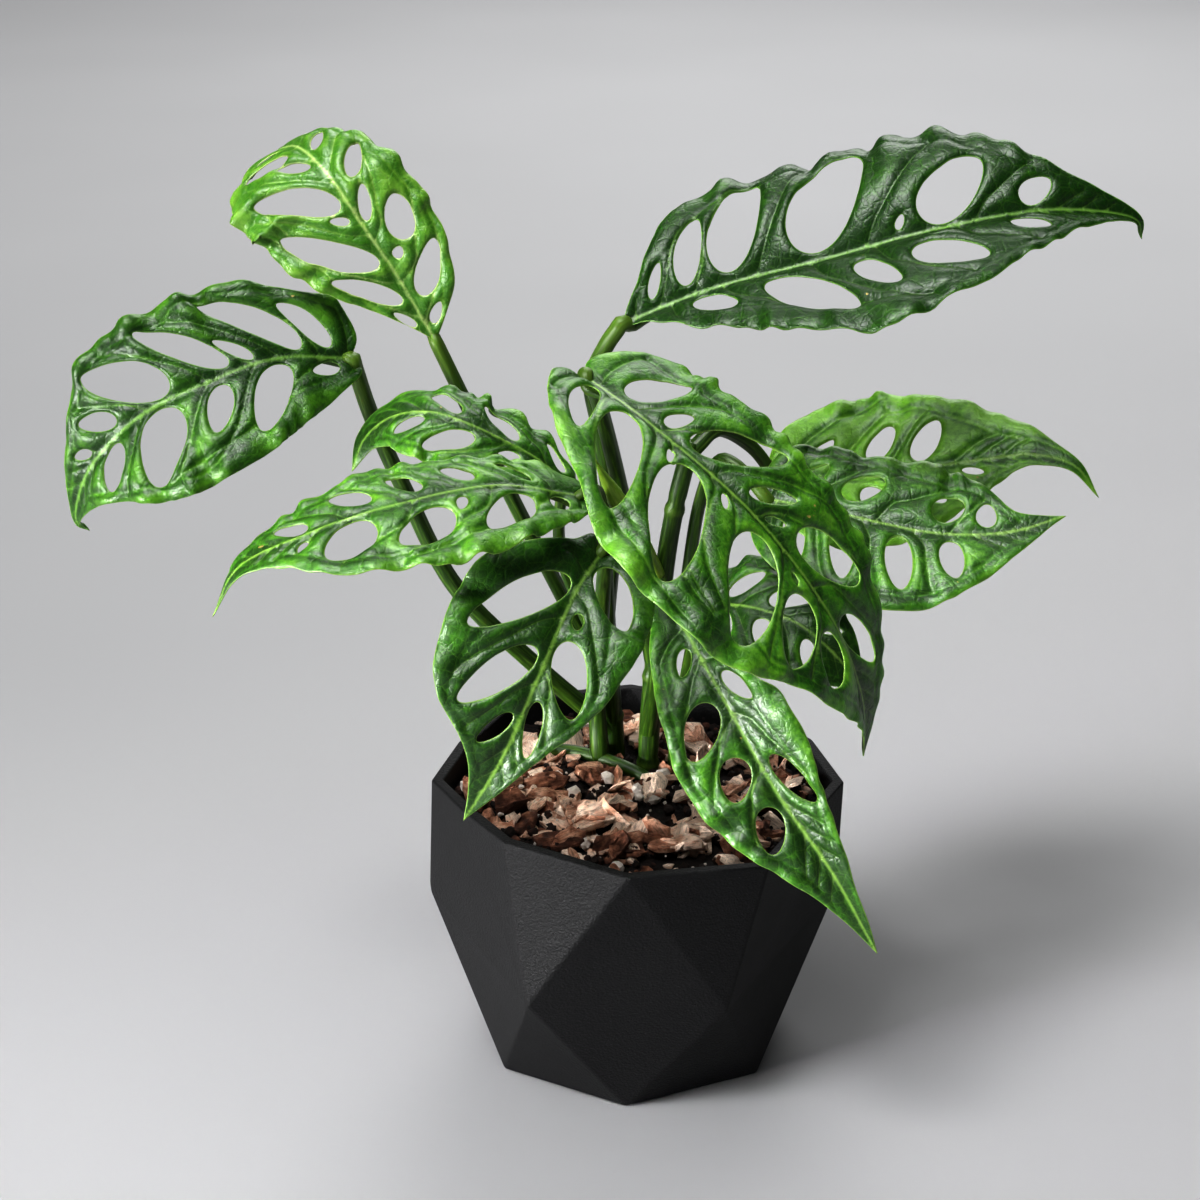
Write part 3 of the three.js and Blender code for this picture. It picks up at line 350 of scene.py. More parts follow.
POT_TONES = ((0.35, (0.0025, 0.0025, 0.003)), (0.7, (0.0045, 0.0045, 0.005)))
POT_SPECK = (0.2, 0.2, 0.21)
BARK_TONES = (
    (0.0, (0.006, 0.004, 0.003)),
    (0.2, (0.025, 0.011, 0.007)),
    (0.34, (0.12, 0.042, 0.022)),
    (0.48, (0.45, 0.205, 0.12)),
    (0.62, (0.84, 0.52, 0.37)),
    (0.78, (0.98, 0.78, 0.64)),
)
BARK_STREAK = (0.035, 0.014, 0.008)
PERLITE_TONE = (0.8, 0.72, 0.66)
FLOOR_TONES = ((0.315, 0.315, 0.32), (0.35, 0.35, 0.355))


# Curves and flat outlines


class Curve:
    """A smooth curve through points, walked by its length."""

    SHARES = np.linspace(0, 1, 201)

    def __init__(self, points):
        p = np.array(points, float)
        self.knots = np.vstack([2 * p[0] - p[1], p, 2 * p[-1] - p[-2]])
        steps = np.linalg.norm(np.diff(self.at(self.SHARES), axis=0), axis=1)
        self.lengths = np.concatenate([[0], np.cumsum(steps)])
        self.length = self.lengths[-1]

    def at(self, share):
        spans = len(self.knots) - 3
        s = np.clip(share * spans, 0, spans)
        k = np.minimum(s.astype(int), spans - 1)
        w = (s - k)[:, None]
        p0, p1, p2, p3 = (self.knots[k + i] for i in range(4))
        m1, m2 = (p2 - p0) / 2, (p3 - p1) / 2
        return (
            (2 * w**3 - 3 * w**2 + 1) * p1
            + (w**3 - 2 * w**2 + w) * m1
            + (3 * w**2 - 2 * w**3) * p2
            + (w**3 - w**2) * m2
        )

    def spaced(self, count):
        places = np.linspace(0, self.length, count + 1)
        return self.at(np.interp(places, self.lengths, self.SHARES))

    def every(self, step):
        return self.spaced(max(3, round(self.length / step)))


def margin_loop(data, length):
    tip = (length, 0)
    right = Curve([(0, 0), *data["right"], tip]).every(MARGIN_STEP)
    left = Curve([tip, *data["left"][::-1], (0, 0)]).every(MARGIN_STEP)
    return np.vstack([right[:-1], left[:-1]])


def hole_loop(hole):
    x0, y0, x1, y1, width = hole
    centre = np.array([x0 + x1, y0 + y1]) / 2
    reach = np.array([x1 - x0, y1 - y0]) / 2
    half = np.hypot(*reach)
    count = max(HOLE_POINTS, round((half + width / 2) * math.pi / HOLE_STEP))
    turn = np.arange(count) * 2 * math.pi / count
    forward = np.cos(turn)[:, None]
    aside = (np.sin(turn)[:, None] * (1 - HOLE_TAPER * forward) * width) / 2 / half
    return centre + forward * reach + aside * np.array([-reach[1], reach[0]])


def inside(points, loop):
    """Which points lie inside a closed loop."""
    x, y = points[:, 0:1], points[:, 1:2]
    a, b = loop, np.roll(loop, -1, axis=0)
    crosses = (a[:, 1] > y) != (b[:, 1] > y)
    rise = np.where(a[:, 1] == b[:, 1], 1, b[:, 1] - a[:, 1])
    left_of = x < (b[:, 0] - a[:, 0]) * (y - a[:, 1]) / rise + a[:, 0]
    return (crosses & left_of).sum(axis=1) % 2 == 1


def on_blade(points, margin, holes):
    mask = inside(points, margin)
    for hole in holes:
        mask &= ~inside(points, hole)
    return mask


def distance(points, line, closed=False):
    """The least distance from each point to a line of straight pieces, taken a hundred at a time."""
    a = line if closed else line[:-1]
    b = np.roll(line, -1, axis=0) if closed else line[1:]
    best = np.full(len(points), np.inf)
    for start in range(0, len(a), 100):
        p, q = a[start : start + 100], b[start : start + 100]
        span = q - p
        share = ((points[:, None] - p) * span).sum(axis=2) / np.maximum((span**2).sum(axis=1), TINY)
        foot = p + np.clip(share, 0, 1)[:, :, None] * span
        best = np.minimum(best, np.linalg.norm(points[:, None] - foot, axis=2).min(axis=1))
    return best


def nearest(points, lines, closed=False):
    return np.min([distance(points, line, closed) for line in lines], axis=0)


def shifted(line, aside, closed=False):
    """A line moved sideways, to its left where aside is positive."""
    if closed:
        along = np.roll(line, -1, axis=0) - np.roll(line, 1, axis=0)
    else:
        along = np.gradient(line, axis=0)
    along = unit(along)
    return line + aside * np.column_stack([-along[:, 1], along[:, 0]])


def unit(v):
    return v / np.maximum(np.linalg.norm(v, axis=-1, keepdims=True), TINY)


class Spread:
    """Points kept a least distance apart, found again through a grid."""

    CELL = 2

    def __init__(self):
        self.points = []
        self.cells = {}

    def add(self, candidates, apart):
        for x, y in candidates:
            cx, cy = int(x // self.CELL), int(y // self.CELL)
            around = [(cx + i, cy + j) for i in (-1, 0, 1) for j in (-1, 0, 1)]
            near = (p for cell in around for p in self.cells.get(cell, ()))
            if all((x - p[0]) ** 2 + (y - p[1]) ** 2 > apart**2 for p in near):
                self.points.append((x, y))
                self.cells.setdefault((cx, cy), []).append((x, y))


# Veins of the flat blade


def strip_veins(data, margin):
    """Side veins: one up the middle of each strip between two long holes, and more near the tip."""
    veins = []
    length = margin[:, 0].max()
    for sign in (1, -1):
        holes = [np.array(h, float) for h in data["holes"] if h[1] * sign > 0]
        holes = [h for h in holes if math.hypot(h[2] - h[0], h[3] - h[1]) > LONG_HOLE]
        holes.sort(key=lambda h: h[0] + h[2])
        lines = []
        for pair in zip(holes, holes[1:]):
            points = []
            for share in STRIP_SHARES:
                p, q = (h[:2] + (h[2:4] - h[:2]) * share for h in pair)
                gap = max(np.linalg.norm(q - p), 1)
                free = gap - (pair[0][4] + pair[1][4]) / 2
                points.append(p + (q - p) / gap * (pair[0][4] / 2 + free / 2))
            lines.append([(points[0][0] - VEIN_SLANT, 0), *points])
        first, last = holes[0], holes[-1]
        foot = (max(first[0] - FIRST_VEIN, 1), 0)
        lines.append([foot, first[:2] + (-3 - first[4] / 2, sign * 2)])
        for ahead in TIP_VEINS:
            start = last[0] + (last[2] - last[0]) * 0.4 + last[4] / 2 + ahead
            if start < length - TIP_CLEAR:
                lines.append([(start, 0), (start + VEIN_SLANT, sign * 3.5)])
        veins += [(sign, grown(line, margin)) for line in lines]
    return veins


def grown(line, margin):
    """A vein that bends towards the tip and goes on until it comes near the margin."""
    line = [np.array(p, float) for p in line]
    heading = line[-1] - line[-2]
    heading /= np.linalg.norm(heading)
    first_gap = distance(line[-1][None], margin, True)[0]
    for _ in range(VEIN_STEPS):
        heading = heading + (VEIN_TURN, 0)
        heading /= np.linalg.norm(heading)
        ahead = line[-1] + heading * VEIN_STEP
        gap = distance(ahead[None], margin, True)[0]
        if gap < max(VEIN_MARGIN, 0.4 * first_gap) or not inside(ahead[None], margin)[0]:
            break
        line.append(ahead)
    return Curve(line).every(VEIN_STEP)


def margin_veins(veins, length):
    """One vein along each margin, through the ends of the side veins."""
    lines = []
    for sign in (1, -1):
        ends = sorted((tuple(line[-1]) for s, line in veins if s == sign), key=lambda p: p[0])
        lines.append(Curve([*ends, (length - 4, sign * 0.6)]).every(VEIN_STEP))
    return lines


# Blades: a flat pattern, bent along its midrib, folded and curled across it


class Blade:
    SAMPLES = 240

    def __init__(self, data):
        self.data = data
        curve = Curve(data["midrib"])
        self.middle = curve.spaced(self.SAMPLES)
        self.length = curve.length
        self.widest = max(max(p[1] for p in data["left"]), max(-p[1] for p in data["right"]))

    def angle(self, key, half, t):
        """The fold or the curl of a half of the blade, from the base to the tip."""
        ends = (self.data[key], self.data.get("tip_" + key, self.data[key]))
        base, tip = (np.radians(np.array(end, float))[half] for end in ends)
        return base + (tip - base) * t

    def place(self, flat):
        """Points of the bent blade, in millimetres, from points of the flat one."""
        x, y = flat[:, 0], flat[:, 1]
        at = x / self.length * self.SAMPLES
        k = np.clip(np.floor(at).astype(int), 0, self.SAMPLES - 1)
        t = np.clip(x / self.length, 0, 1)
        middle = self.middle
        point = middle[k] + (middle[k + 1] - middle[k]) * (at - k)[:, None]
        ahead, behind = np.minimum(self.SAMPLES, k + 2), np.maximum(0, k - 1)
        forward = unit(middle[ahead] - middle[behind])
        base, tip = np.array(self.data["face"], float)
        face = base + (tip - base) * t[:, None]
        normal = unit(face - forward * (face * forward).sum(axis=1, keepdims=True))
        across = np.cross(normal, forward)
        half = (y < 0).astype(int)
        reach = np.abs(y)
        fold, curl = self.angle("fold", half, t), self.angle("curl", half, t)
        end = fold + curl * reach
        out = (np.sin(end) - np.sin(fold)) / curl
        up = (np.cos(fold) - np.cos(end)) / curl
        height, wave, phase = self.data["ruffle"]
        ripple = np.sin(2 * math.pi * x / wave + phase + half * 2)
        ripple += 0.35 * np.sin(2 * math.pi * x / (wave * 0.57) + phase * 3 + half)
        lift = height * (reach / self.widest) ** 2 * ripple
        side = np.where(y >= 0, 1, -1)
        point = point + across * (side * (out - lift * np.sin(end)))[:, None]
        return point + normal * (up + lift * np.cos(end))[:, None]

    def normals(self, flat):
        step = 0.5
        along = self.place(flat + (step, 0)) - self.place(flat - (step, 0))
        across = self.place(flat + (0, step)) - self.place(flat - (0, step))
        return unit(np.cross(along, across))


def hill(distance_to, width):
    return np.exp(-((distance_to / width) ** 2))


def form(size, distance_to):
    """A rounded form of this height and width."""
    return size[0] * hill(distance_to, size[1])


def flat_mesh(blade):
    """The flat blade: points, triangles, sides at its edges, and distances from what shapes it."""
    data, length = blade.data, blade.length
    margin = margin_loop(data, length)
    holes = [hole_loop(hole) for hole in data["holes"]]
    veins = strip_veins(data, margin)
    lines = [line for _, line in veins]
    rim_veins = margin_veins(veins, length)
    count = round(length / VEIN_STEP)
    midrib = np.column_stack([np.linspace(0, length, count), np.zeros(count)])

    spread = Spread()
    loops = [margin, *holes]
    edges = []
    for loop in loops:
        spread.add(loop, LEAST_APART["edge"])
        first, size = len(edges), len(loop)
        edges += [(first + k, first + (k + 1) % size) for k in range(size)]
    rows = [(line, "vein") for line in [midrib[1:-1], *lines, *rim_veins]]
    rows += [(shifted(midrib, s * d)[1:-1], "midrib") for d in MIDRIB_ROWS for s in (1, -1)]
    rows += [(shifted(margin, d, True), "row") for d in MARGIN_ROWS]
    rows += [(shifted(hole, -d, True), "row") for hole in holes for d in HOLE_ROWS]
    for line in lines + rim_veins:
        rows += [(shifted(line, s * d), "row") for d in VEIN_ROWS for s in (1, -1)]
    low, high = margin.min(axis=0), margin.max(axis=0)
    xs = np.arange(low[0], high[0], FIELD_STEP)
    ys = np.arange(low[1], high[1], FIELD_STEP * 0.87)
    grid = [(x + (j % 2) * FIELD_STEP / 2, y) for j, y in enumerate(ys) for x in xs]
    rows.append((np.array(grid), "field"))
    for row, kind in rows:
        row = row[on_blade(row, margin, holes)]
        spread.add(row[nearest(row, loops, True) > EDGE_GAP], LEAST_APART[kind])

    verts, _, faces, *_ = delaunay_2d_cdt([Vector(p) for p in spread.points], edges, [], 0, 1e-5)
    flat, faces = np.array([(v.x, v.y) for v in verts]), np.array(faces)
    keep = on_blade(flat[faces].mean(axis=1), margin, holes)
    far = (
        nearest(flat, holes, True),
        distance(flat, margin, True),
        nearest(flat, lines),
        nearest(flat, rim_veins),
        np.abs(flat[:, 1]),
    )
    rim = edges[: len(margin)] + [(q, p) for p, q in edges[len(margin) :]]
    return flat, faces[keep], rim, far


def blade_mesh(name, blade, seed):
    """The blade as one closed sheet, with veins, bulges and edges that turn down as relief."""
    flat, faces, sides, (hole, margin, vein, rim, midrib) = flat_mesh(blade)
    x, y = flat[:, 0], flat[:, 1]
    edge = np.minimum(hole, margin)
    near = np.minimum(vein, rim * 1.3)
    relief = PUCKER * (1 - hill(near, PUCKER_GAPS[0])) * (1 - hill(edge, PUCKER_GAPS[1]))
    relief = relief + CROSS_WAVE * (np.sin(x * 0.62 + seed) * np.sin(y * 0.5 + x * 0.2 + seed * 2))
    relief *= np.clip(midrib / 4, 0, 1)
    relief -= (form(VEIN_FURROW, vein) + form(VEIN_VALLEY, vein)) * np.clip(midrib / 3, 0, 1)
    relief -= form(RIM_FURROW, rim)
    relief -= HOLE_LIP[0] * np.exp(-hole / HOLE_LIP[1])
    wide = np.clip((np.abs(y) - 5) / 9, 0, 1)
    wave = np.sin(x * 0.52 + seed + 1.6 * np.sin(x * 0.13 + seed * 2) + (y > 0) * 2)
    scallop = SCALLOP[0] * wave * wide * np.exp(-margin / SCALLOP[1])
    relief -= MARGIN_LIP[0] * np.exp(-margin / MARGIN_LIP[1]) + scallop
    relief -= form(MIDRIB_VALLEY, midrib) - form(MIDRIB_CREST, midrib)
    relief *= np.clip((blade.length - x) / TIP_FADE, TIP_RELIEF, 1)
    base, normal = blade.place(flat), blade.normals(flat)
    thick = BLADE_HALF * (1 - form(EDGE_THIN, edge))
    taper = 1 - KEEL_TAPER * np.clip(x / blade.length, 0, 1)
    keel = MIDRIB_KEEL[0] * taper * hill(midrib, MIDRIB_KEEL[1]) + form(VEIN_KEEL, vein)
    top = base + normal * (relief + thick)[:, None]
    bottom = base + normal * (relief - thick - keel * np.clip(edge / 1.5, 0, 1))[:, None]

    count = len(flat)
    polygons = faces.tolist() + (faces[:, ::-1] + count).tolist()
    polygons += [(p, p + count, q + count, q) for p, q in sorted(sides)]
    mesh = mesh_of(name, np.vstack([top, bottom]), polygons)

    # pale: the pale veins and midrib, and a pale line just inside each hole's edge, which is painted
    # highlight
    pale = 0.85 * hill(midrib, 0.65) + 0.42 * hill(vein, 0.55) + 0.35 * hill(hole - 1.1, 0.4)
    # bright: lighter towards the margins and the holes and darker near the midrib; the blade's tone is
    # added, partly its own colour and partly painted light and shade
    bright = 0.2 * hill(margin, 4) + 0.08 * hill(hole - 1, 1.2) - 0.25 * hill(midrib, 9)
    marks = {
        "vein": np.clip(pale, 0, 1),
        # edge: painted highlight along the hole edges and the margin, where the thin edge catches light
        "edge": hill(edge, 0.45),
        "bright": bright + blade.data["tone"],
        # painted shade round each hole, mixed in the underside's colour
        "lip": hill(hole, 0.75),
        # crease: painted shade, darker in the furrows along the veins and beside the midrib
        "crease": hill(np.minimum(vein, rim) - 1.3, 0.8) + 0.8 * hill(midrib - 2, 1.2),
    }
    for key, values in marks.items():
        write(mesh, key, np.tile(values, 2))
    write(mesh, "under", np.repeat([0, 1], count))
    spot = np.column_stack([flat + (seed * 53, seed * 31), np.full(count, seed * 7.0)])
    write(mesh, "flat", np.vstack([spot, spot]))
    return mesh


# Meshes and pieces


def mesh_of(name, points, polygons):
    mesh = bpy.data.meshes.new(name)
    mesh.from_pydata((np.array(points) * MM).tolist(), [], [list(f) for f in polygons])
    mesh.update()
    mesh.shade_smooth()
    return mesh


def write(mesh, name, values):
    """A value, or three, at each point, for the material to read."""
    three = np.ndim(values) == 2
    layer = mesh.attributes.new(name, "FLOAT_VECTOR" if three else "FLOAT", "POINT")
    layer.data.foreach_set("vector" if three else "value", np.ravel(values).astype(np.float32))


def linked(name, data):
    obj = bpy.data.objects.new(name, data)
    bpy.context.scene.collection.objects.link(obj)
    return obj


def piece(name, mesh, material, slot, node):
    obj = linked(name, mesh)
    mesh.materials.append(material)
    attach(obj, "root")
    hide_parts(node)


def ring_quads(first, second, count):
    """The quads between two rings of points, given by the number of each ring's first point."""
    return [(first + j, first + i, second + i, second + j) for j, i in steps_round(count)]


def steps_round(count):
    return [(j, (j + 1) % count) for j in range(count)]


# Stalks


def across_frames(line):
    """At each point of a line: two directions across it, without twist."""
    forward = unit(np.gradient(line, axis=0))
    aside = np.zeros_like(line)
    aside[0] = unit(np.cross(forward[0], (0.3, 1, 0.2)))
    for k in range(1, len(line)):
        aside[k] = unit(aside[k - 1] - forward[k] * (aside[k - 1] * forward[k]).sum())
    return aside, np.cross(forward, aside)


def tube_mesh(name, line, radii, furrow=0.0, bands=None, shape=None):
    """A closed tube. radii: one for each point of the line; furrow: its depth, as a share of them."""
    turn = np.arange(TUBE_SIDES) * 2 * math.pi / TUBE_SIDES
    along = np.concatenate([[0], np.cumsum(np.linalg.norm(np.diff(line, axis=0), axis=1))])[:, None]
    off = np.abs(turn - math.pi)
    share, place, width = SHOULDER
    profile = 1 - furrow * hill(off, FURROW_WIDTH) + furrow * share * hill(np.abs(off - place), width)
    if shape:
        profile = profile * shape(turn, along)
    radii = np.array(radii)[:, None]
    r = radii * profile
    aside, other = (v[:, None] for v in across_frames(line))
    across = aside * (np.cos(turn) * r)[..., None] + other * (np.sin(turn) * r)[..., None]
    points = np.vstack([(line[:, None] + across).reshape(-1, 3), line[:1], line[-1:]])
    grain = np.dstack([np.cos(turn) * radii, np.sin(turn) * radii, along + 0 * turn]).reshape(-1, 3)
    polygons = []
    for k in range(len(line) - 1):
        polygons += ring_quads(k * TUBE_SIDES, (k + 1) * TUBE_SIDES, TUBE_SIDES)
    foot, head = len(points) - 2, len(points) - 1
    last = foot - TUBE_SIDES
    for j, i in steps_round(TUBE_SIDES):
        polygons += [(foot, i, j), (head, last + j, last + i)]
    mesh = mesh_of(name, points, polygons)
    write(mesh, "grain", np.vstack([grain, [0, 0, 0], [0, 0, along[-1, 0]]]))
    level = np.zeros(len(line)) if bands is None else bands
    write(mesh, "band", np.concatenate([np.repeat(level, TUBE_SIDES), [level[0], level[-1]]]))
    return mesh


def tapered(radius, *points):
    """A stalk's middle line, how far along it each point is, and the radii there."""
    curve = Curve(points)
    line = curve.every(TUBE_STEP)
    share = np.linspace(0, 1, len(line))
    low, high = radius
    return line, share * curve.length, low + (high - low) * share


def cane_mesh(name, rings, *data):
    line, along, radii = tapered(*data)
    bands = np.zeros(len(line))
    for ring in rings:
        off = along - ring * along[-1]
        radii = radii + form(NODE_RING, off) - form(NODE_NECK, off - NECK_ABOVE)
        bands = bands + hill(off, 1.3)
    radii[-1] *= CANE_TOP
    return tube_mesh(name, line, radii, CANE_FURROW, bands)


def petiole_mesh(name, data, blade):
    """A stalk with a sheath at its foot, and a furrow; its top tapers off under the blade's midrib."""
    line, along, radii = tapered(*data, blade.middle[0])
    radii = radii + form(SHEATH, along)
    length = along[-1]
    run_on = np.array(RUN_ON)
    ahead = np.column_stack([run_on, 0 * run_on])
    thin = data[0][1] * np.linspace(*RUN_ON_THIN, len(run_on))
    under = blade.place(ahead) - blade.normals(ahead) * (thin + RUN_ON_DEPTH)[:, None]
    whole = Curve([*line[:-1:3], line[-1], *under])
    smooth = whole.every(TUBE_STEP)
    at = np.linspace(0, whole.length, len(smooth))
    radii = np.interp(at, [*along, *(length + run_on)], [*radii, *thin])
    bands = hill(np.minimum(length - at, 0), 8) * np.clip(at - length + 30, 0, 30) / 30
    return tube_mesh(name, smooth, radii, PETIOLE_FURROW, bands)


def new_leaf_mesh(name, radius, *points):
    """A leaf still rolled up: a spike with the open edge of the roll winding round it."""
    line = Curve(points).every(NEW_LEAF_STEP)
    share = np.linspace(0, 1, len(line))
    low, high = radius
    radii = low + (high - low) * np.sin(np.clip(share * 1.25, 0, 1) * math.pi / 2)
    radii = radii * np.clip((1 - share) * 3.2, 0.1, 1) ** 0.8

    def roll(turn, along):
        seam = (turn - along * 0.07) % (2 * math.pi)
        return 0.9 + 0.2 * seam / (2 * math.pi)

    return tube_mesh(name, line, radii, shape=roll)


# Pot


def pot_mesh(name):
    """The shell as the solid has it, with its edges rounded."""
    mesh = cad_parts["pot"].data.copy()
    mesh.name = name
    bm = bmesh.new()
    bm.from_mesh(mesh)
    bmesh.ops.remove_doubles(bm, verts=bm.verts, dist=1e-6)
    bmesh.ops.dissolve_limit(bm, angle_limit=math.radians(0.4), verts=bm.verts, edges=bm.edges)
    edges = [e for e in bm.edges if len(e.link_faces) == 2 and e.calc_face_angle(0) > math.radians(3)]
    bmesh.ops.bevel(
        bm, geom=edges, offset=POT_EDGE * MM, segments=3, affect="EDGES", profile=0.5, clamp_overlap=True
    )
    bmesh.ops.triangulate(bm, faces=[f for f in bm.faces if len(f.verts) > 4])
    bm.to_mesh(mesh)
    bm.free()
    mesh.materials.clear()
    return mesh


# Potting mix


def bed_height(x, y):
    waves = np.sin(0.11 * x + 1) * np.cos(0.13 * y) + 0.6 * np.sin(0.23 * x - 0.19 * y)
    return MIX_TOP + 1.3 * waves


def wall_of_pot():
    """How far the inside of the pot's wall is from the axis, by direction and height."""
    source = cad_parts["pot"].data
    source.calc_loop_triangles()
    triangles = [tuple(t.vertices) for t in source.loop_triangles]
    tree = BVHTree.FromPolygons([v.co.copy() for v in source.vertices], triangles)

    def wall(angle, height):
        away = Vector((math.cos(angle), math.sin(angle), 0))
        return tree.ray_cast(Vector((0, 0, height * MM)), away)[3] / MM

    return wall


def lump(rng, size, rough, rings=3, sides=6, flat=1.0):
    """A closed, uneven grain about the origin: its points and polygons."""
    points = [(0, 0, -size * flat * 0.5)]
    for k in range(1, rings + 1):
        tilt = math.pi * k / (rings + 1)
        for j in range(sides):
            turn = 2 * math.pi * (j + k % 2 / 2) / sides
            r = size / 2 * (1 + rng.uniform(-rough, rough))
            out = r * math.sin(tilt)
            points.append((out * math.cos(turn), out * math.sin(turn), -r * math.cos(tilt) * flat))
    points.append((0, 0, size * flat * 0.5))
    polygons = []
    top = len(points) - 1
    last = top - sides
    for j, i in steps_round(sides):
        polygons.append((0, 1 + i, 1 + j))
        for k in range(rings - 1):
            a, b = 1 + k * sides, 1 + (k + 1) * sides
            if k % 2:
                polygons += [(a + j, a + i, b + j), (a + i, b + i, b + j)]
            else:
                polygons += [(a + j, a + i, b + i), (a + j, b + i, b + j)]
        polygons.append((top, last + j, last + i))
    return np.array(points), polygons


def flake(rng, size):
    """A chip of bark: an angular plate of several layers, creased along its grain."""
    sides = rng.randint(6, 9)
    wide = size * rng.uniform(0.4, 0.75)
    thick = size**0.7 * rng.uniform(0.14, 0.36)
    turns = sorted((k + rng.uniform(-0.36, 0.36)) * 2 * math.pi / sides for k in range(sides))
    corners = []
    for a in turns:
        x = math.cos(a) * size / 2 * rng.uniform(0.78, 1.05)
        corners.append((x, math.sin(a) * wide / 2 * rng.uniform(0.78, 1.05)))
    outline = []
    for k, i in steps_round(sides):
        (x0, y0), (x1, y1) = corners[k], corners[i]
        jog = rng.uniform(-0.03, 0.03) * size
        outline += [(x0, y0), (x0 + (x1 - x0) * 0.5 + jog, y0 + (y1 - y0) * 0.5 + jog)]
    outline = np.array(outline)
    bend = rng.uniform(-1.8, 1.8) / size
    crease, phase = rng.uniform(0.9, 1.7), rng.uniform(0, 6)
    step = rng.uniform(0.15, 0.45) * thick
    layers = []
    for side in (1, -1):
        for k, share in enumerate(FLAKE_RINGS):
            x, y = outline.T * share
            z = side * thick / 2 * (0.75 if k == 0 else 1) + bend * y**2 * 2
            z = z + 0.12 * size**0.5 * np.sin(y * crease + phase + x * 0.15) * side
            if side == 1 and k >= 2:
                z = z + step * (x > outline[:, 0].mean() - 0.1 * size)
            layers.append(np.column_stack([x, y, z]))
        layers.append(layers[-1].mean(axis=0)[None])
    n = len(outline)
    under = len(FLAKE_RINGS) * n + 1
    polygons = []
    for first, order in ((0, 1), (under, -1)):
        for k in range(first, first + under - 1 - n, n):
            polygons += [quad[::order] for quad in ring_quads(k, k + n, n)]
        inner, middle = first + under - 1 - n, first + under - 1
        polygons += [(inner + j, inner + i, middle)[::order] for j, i in steps_round(n)]
    polygons += [(under + j, under + i, i, j) for j, i in steps_round(n)]
    return np.vstack(layers), polygons


def turned(points, rng, lean):
    """Points turned about the vertical, then leant over, by random angles."""
    spin, tilt, way = rng.uniform(0, 6.28), rng.gauss(0, lean), rng.uniform(0, 6.28)
    for angle, (i, j) in ((spin, (0, 1)), (tilt, (1, 2)), (way, (0, 1))):
        c, s = math.cos(angle), math.sin(angle)
        a, b = points[:, i], points[:, j]
        points = points.copy()
        points[:, i], points[:, j] = a * c - b * s, a * s + b * c
    return points


def bed(wall, walls):
    """The bed under the chips, closed below: its points and polygons."""
    angle = np.arange(MIX_TURNS) * 2 * math.pi / MIX_TURNS
    r = walls * np.arange(1, MIX_RINGS + 1)[:, None] / MIX_RINGS
    x, y = r * np.cos(angle), r * np.sin(angle)
    rough = 0.7 * np.sin(x * 1.9 + 2 * np.sin(y * 0.7)) * np.sin(y * 2.1 + 1.7 * np.sin(x * 0.9))
    rough += 0.5 * np.sin(x * 3.7 + y * 1.3) * np.sin(y * 3.1 - x * 1.7)
    points = [np.dstack([x, y, bed_height(x, y) - BED_DEPTH + rough]).reshape(-1, 3)]
    floors = np.array([wall(a, MIX_FLOOR + 1) for a in angle]) - MIX_GAP
    x, y = floors * np.cos(angle), floors * np.sin(angle)
    points.append(np.column_stack([x, y, np.full(MIX_TURNS, MIX_FLOOR)]))
    points.append([(0, 0, MIX_TOP - 2), (0, 0, MIX_FLOOR)])
    polygons = []
    count = (MIX_RINGS + 1) * MIX_TURNS
    last = MIX_RINGS * MIX_TURNS
    for j, i in steps_round(MIX_TURNS):
        polygons.append((count, j, i))
        for k in range(0, last, MIX_TURNS):
            m = k + MIX_TURNS
            polygons.append((k + j, m + j, m + i, k + i))
        polygons.append((count + 1, last + i, last + j))
    return np.vstack(points), polygons


def mix_mesh(name):
    rng = random.Random(41)
    wall = wall_of_pot()
    walls = [wall(2 * math.pi * k / MIX_TURNS, MIX_TOP) for k in range(MIX_TURNS)]
    walls = np.array(walls) - MIX_GAP
    canes = [foot[:2] for _, _, foot, *_ in CANES.values()]
    points, polygons = bed(wall, walls)
    # the bed's near-black tint is partly painted shade between the chips
    total, tint, grain = [points], [np.full(len(points), BED_SHADE)], [points]
    used = len(points)
    bed_faces = len(polygons)

    def spot(size, outward):
        """A random place on the bed, clear of the wall and of the canes."""
        while True:
            a = rng.uniform(0, 2 * math.pi)
            room = walls[int(a / (2 * math.pi) * MIX_TURNS) % MIX_TURNS] - size / 2 - BIT_GAP
            r = room * rng.uniform(0, 1) ** outward
            x, y = r * math.cos(a), r * math.sin(a)
            if all(math.hypot(x - cx, y - cy) > size * 0.45 + CANE_GAP for cx, cy in canes):
                return x, y

    for bit in MIX_BITS:
        least, more, rarity = bit["size"]
        for _ in range(bit["count"]):
            size = least + more * rng.random() ** rarity
            x, y = spot(size, bit.get("outward", 0.5))
            local, faces = lump(rng, size, **bit["lump"]) if "lump" in bit else flake(rng, size)
            lift = rng.uniform(*bit["lift"])
            shade = rng.uniform(*bit["shade"]) if "shade" in bit else PERLITE_SHADE
            total.append(turned(local, rng, bit["lean"]) + (x, y, bed_height(x, y) + lift))
            tint.append(np.full(len(local), shade))
            grain.append(local + (rng.uniform(0, 90), rng.uniform(0, 90), 0))
            polygons += [[used + v for v in f] for f in faces]
            used += len(local)
    mesh = mesh_of(name, np.vstack(total), polygons)
    mesh.polygons.foreach_set("use_smooth", np.arange(len(polygons)) < bed_faces)
    write(mesh, "tint", np.concatenate(tint))
    write(mesh, "grain", np.vstack(grain))
    return mesh


# Materials


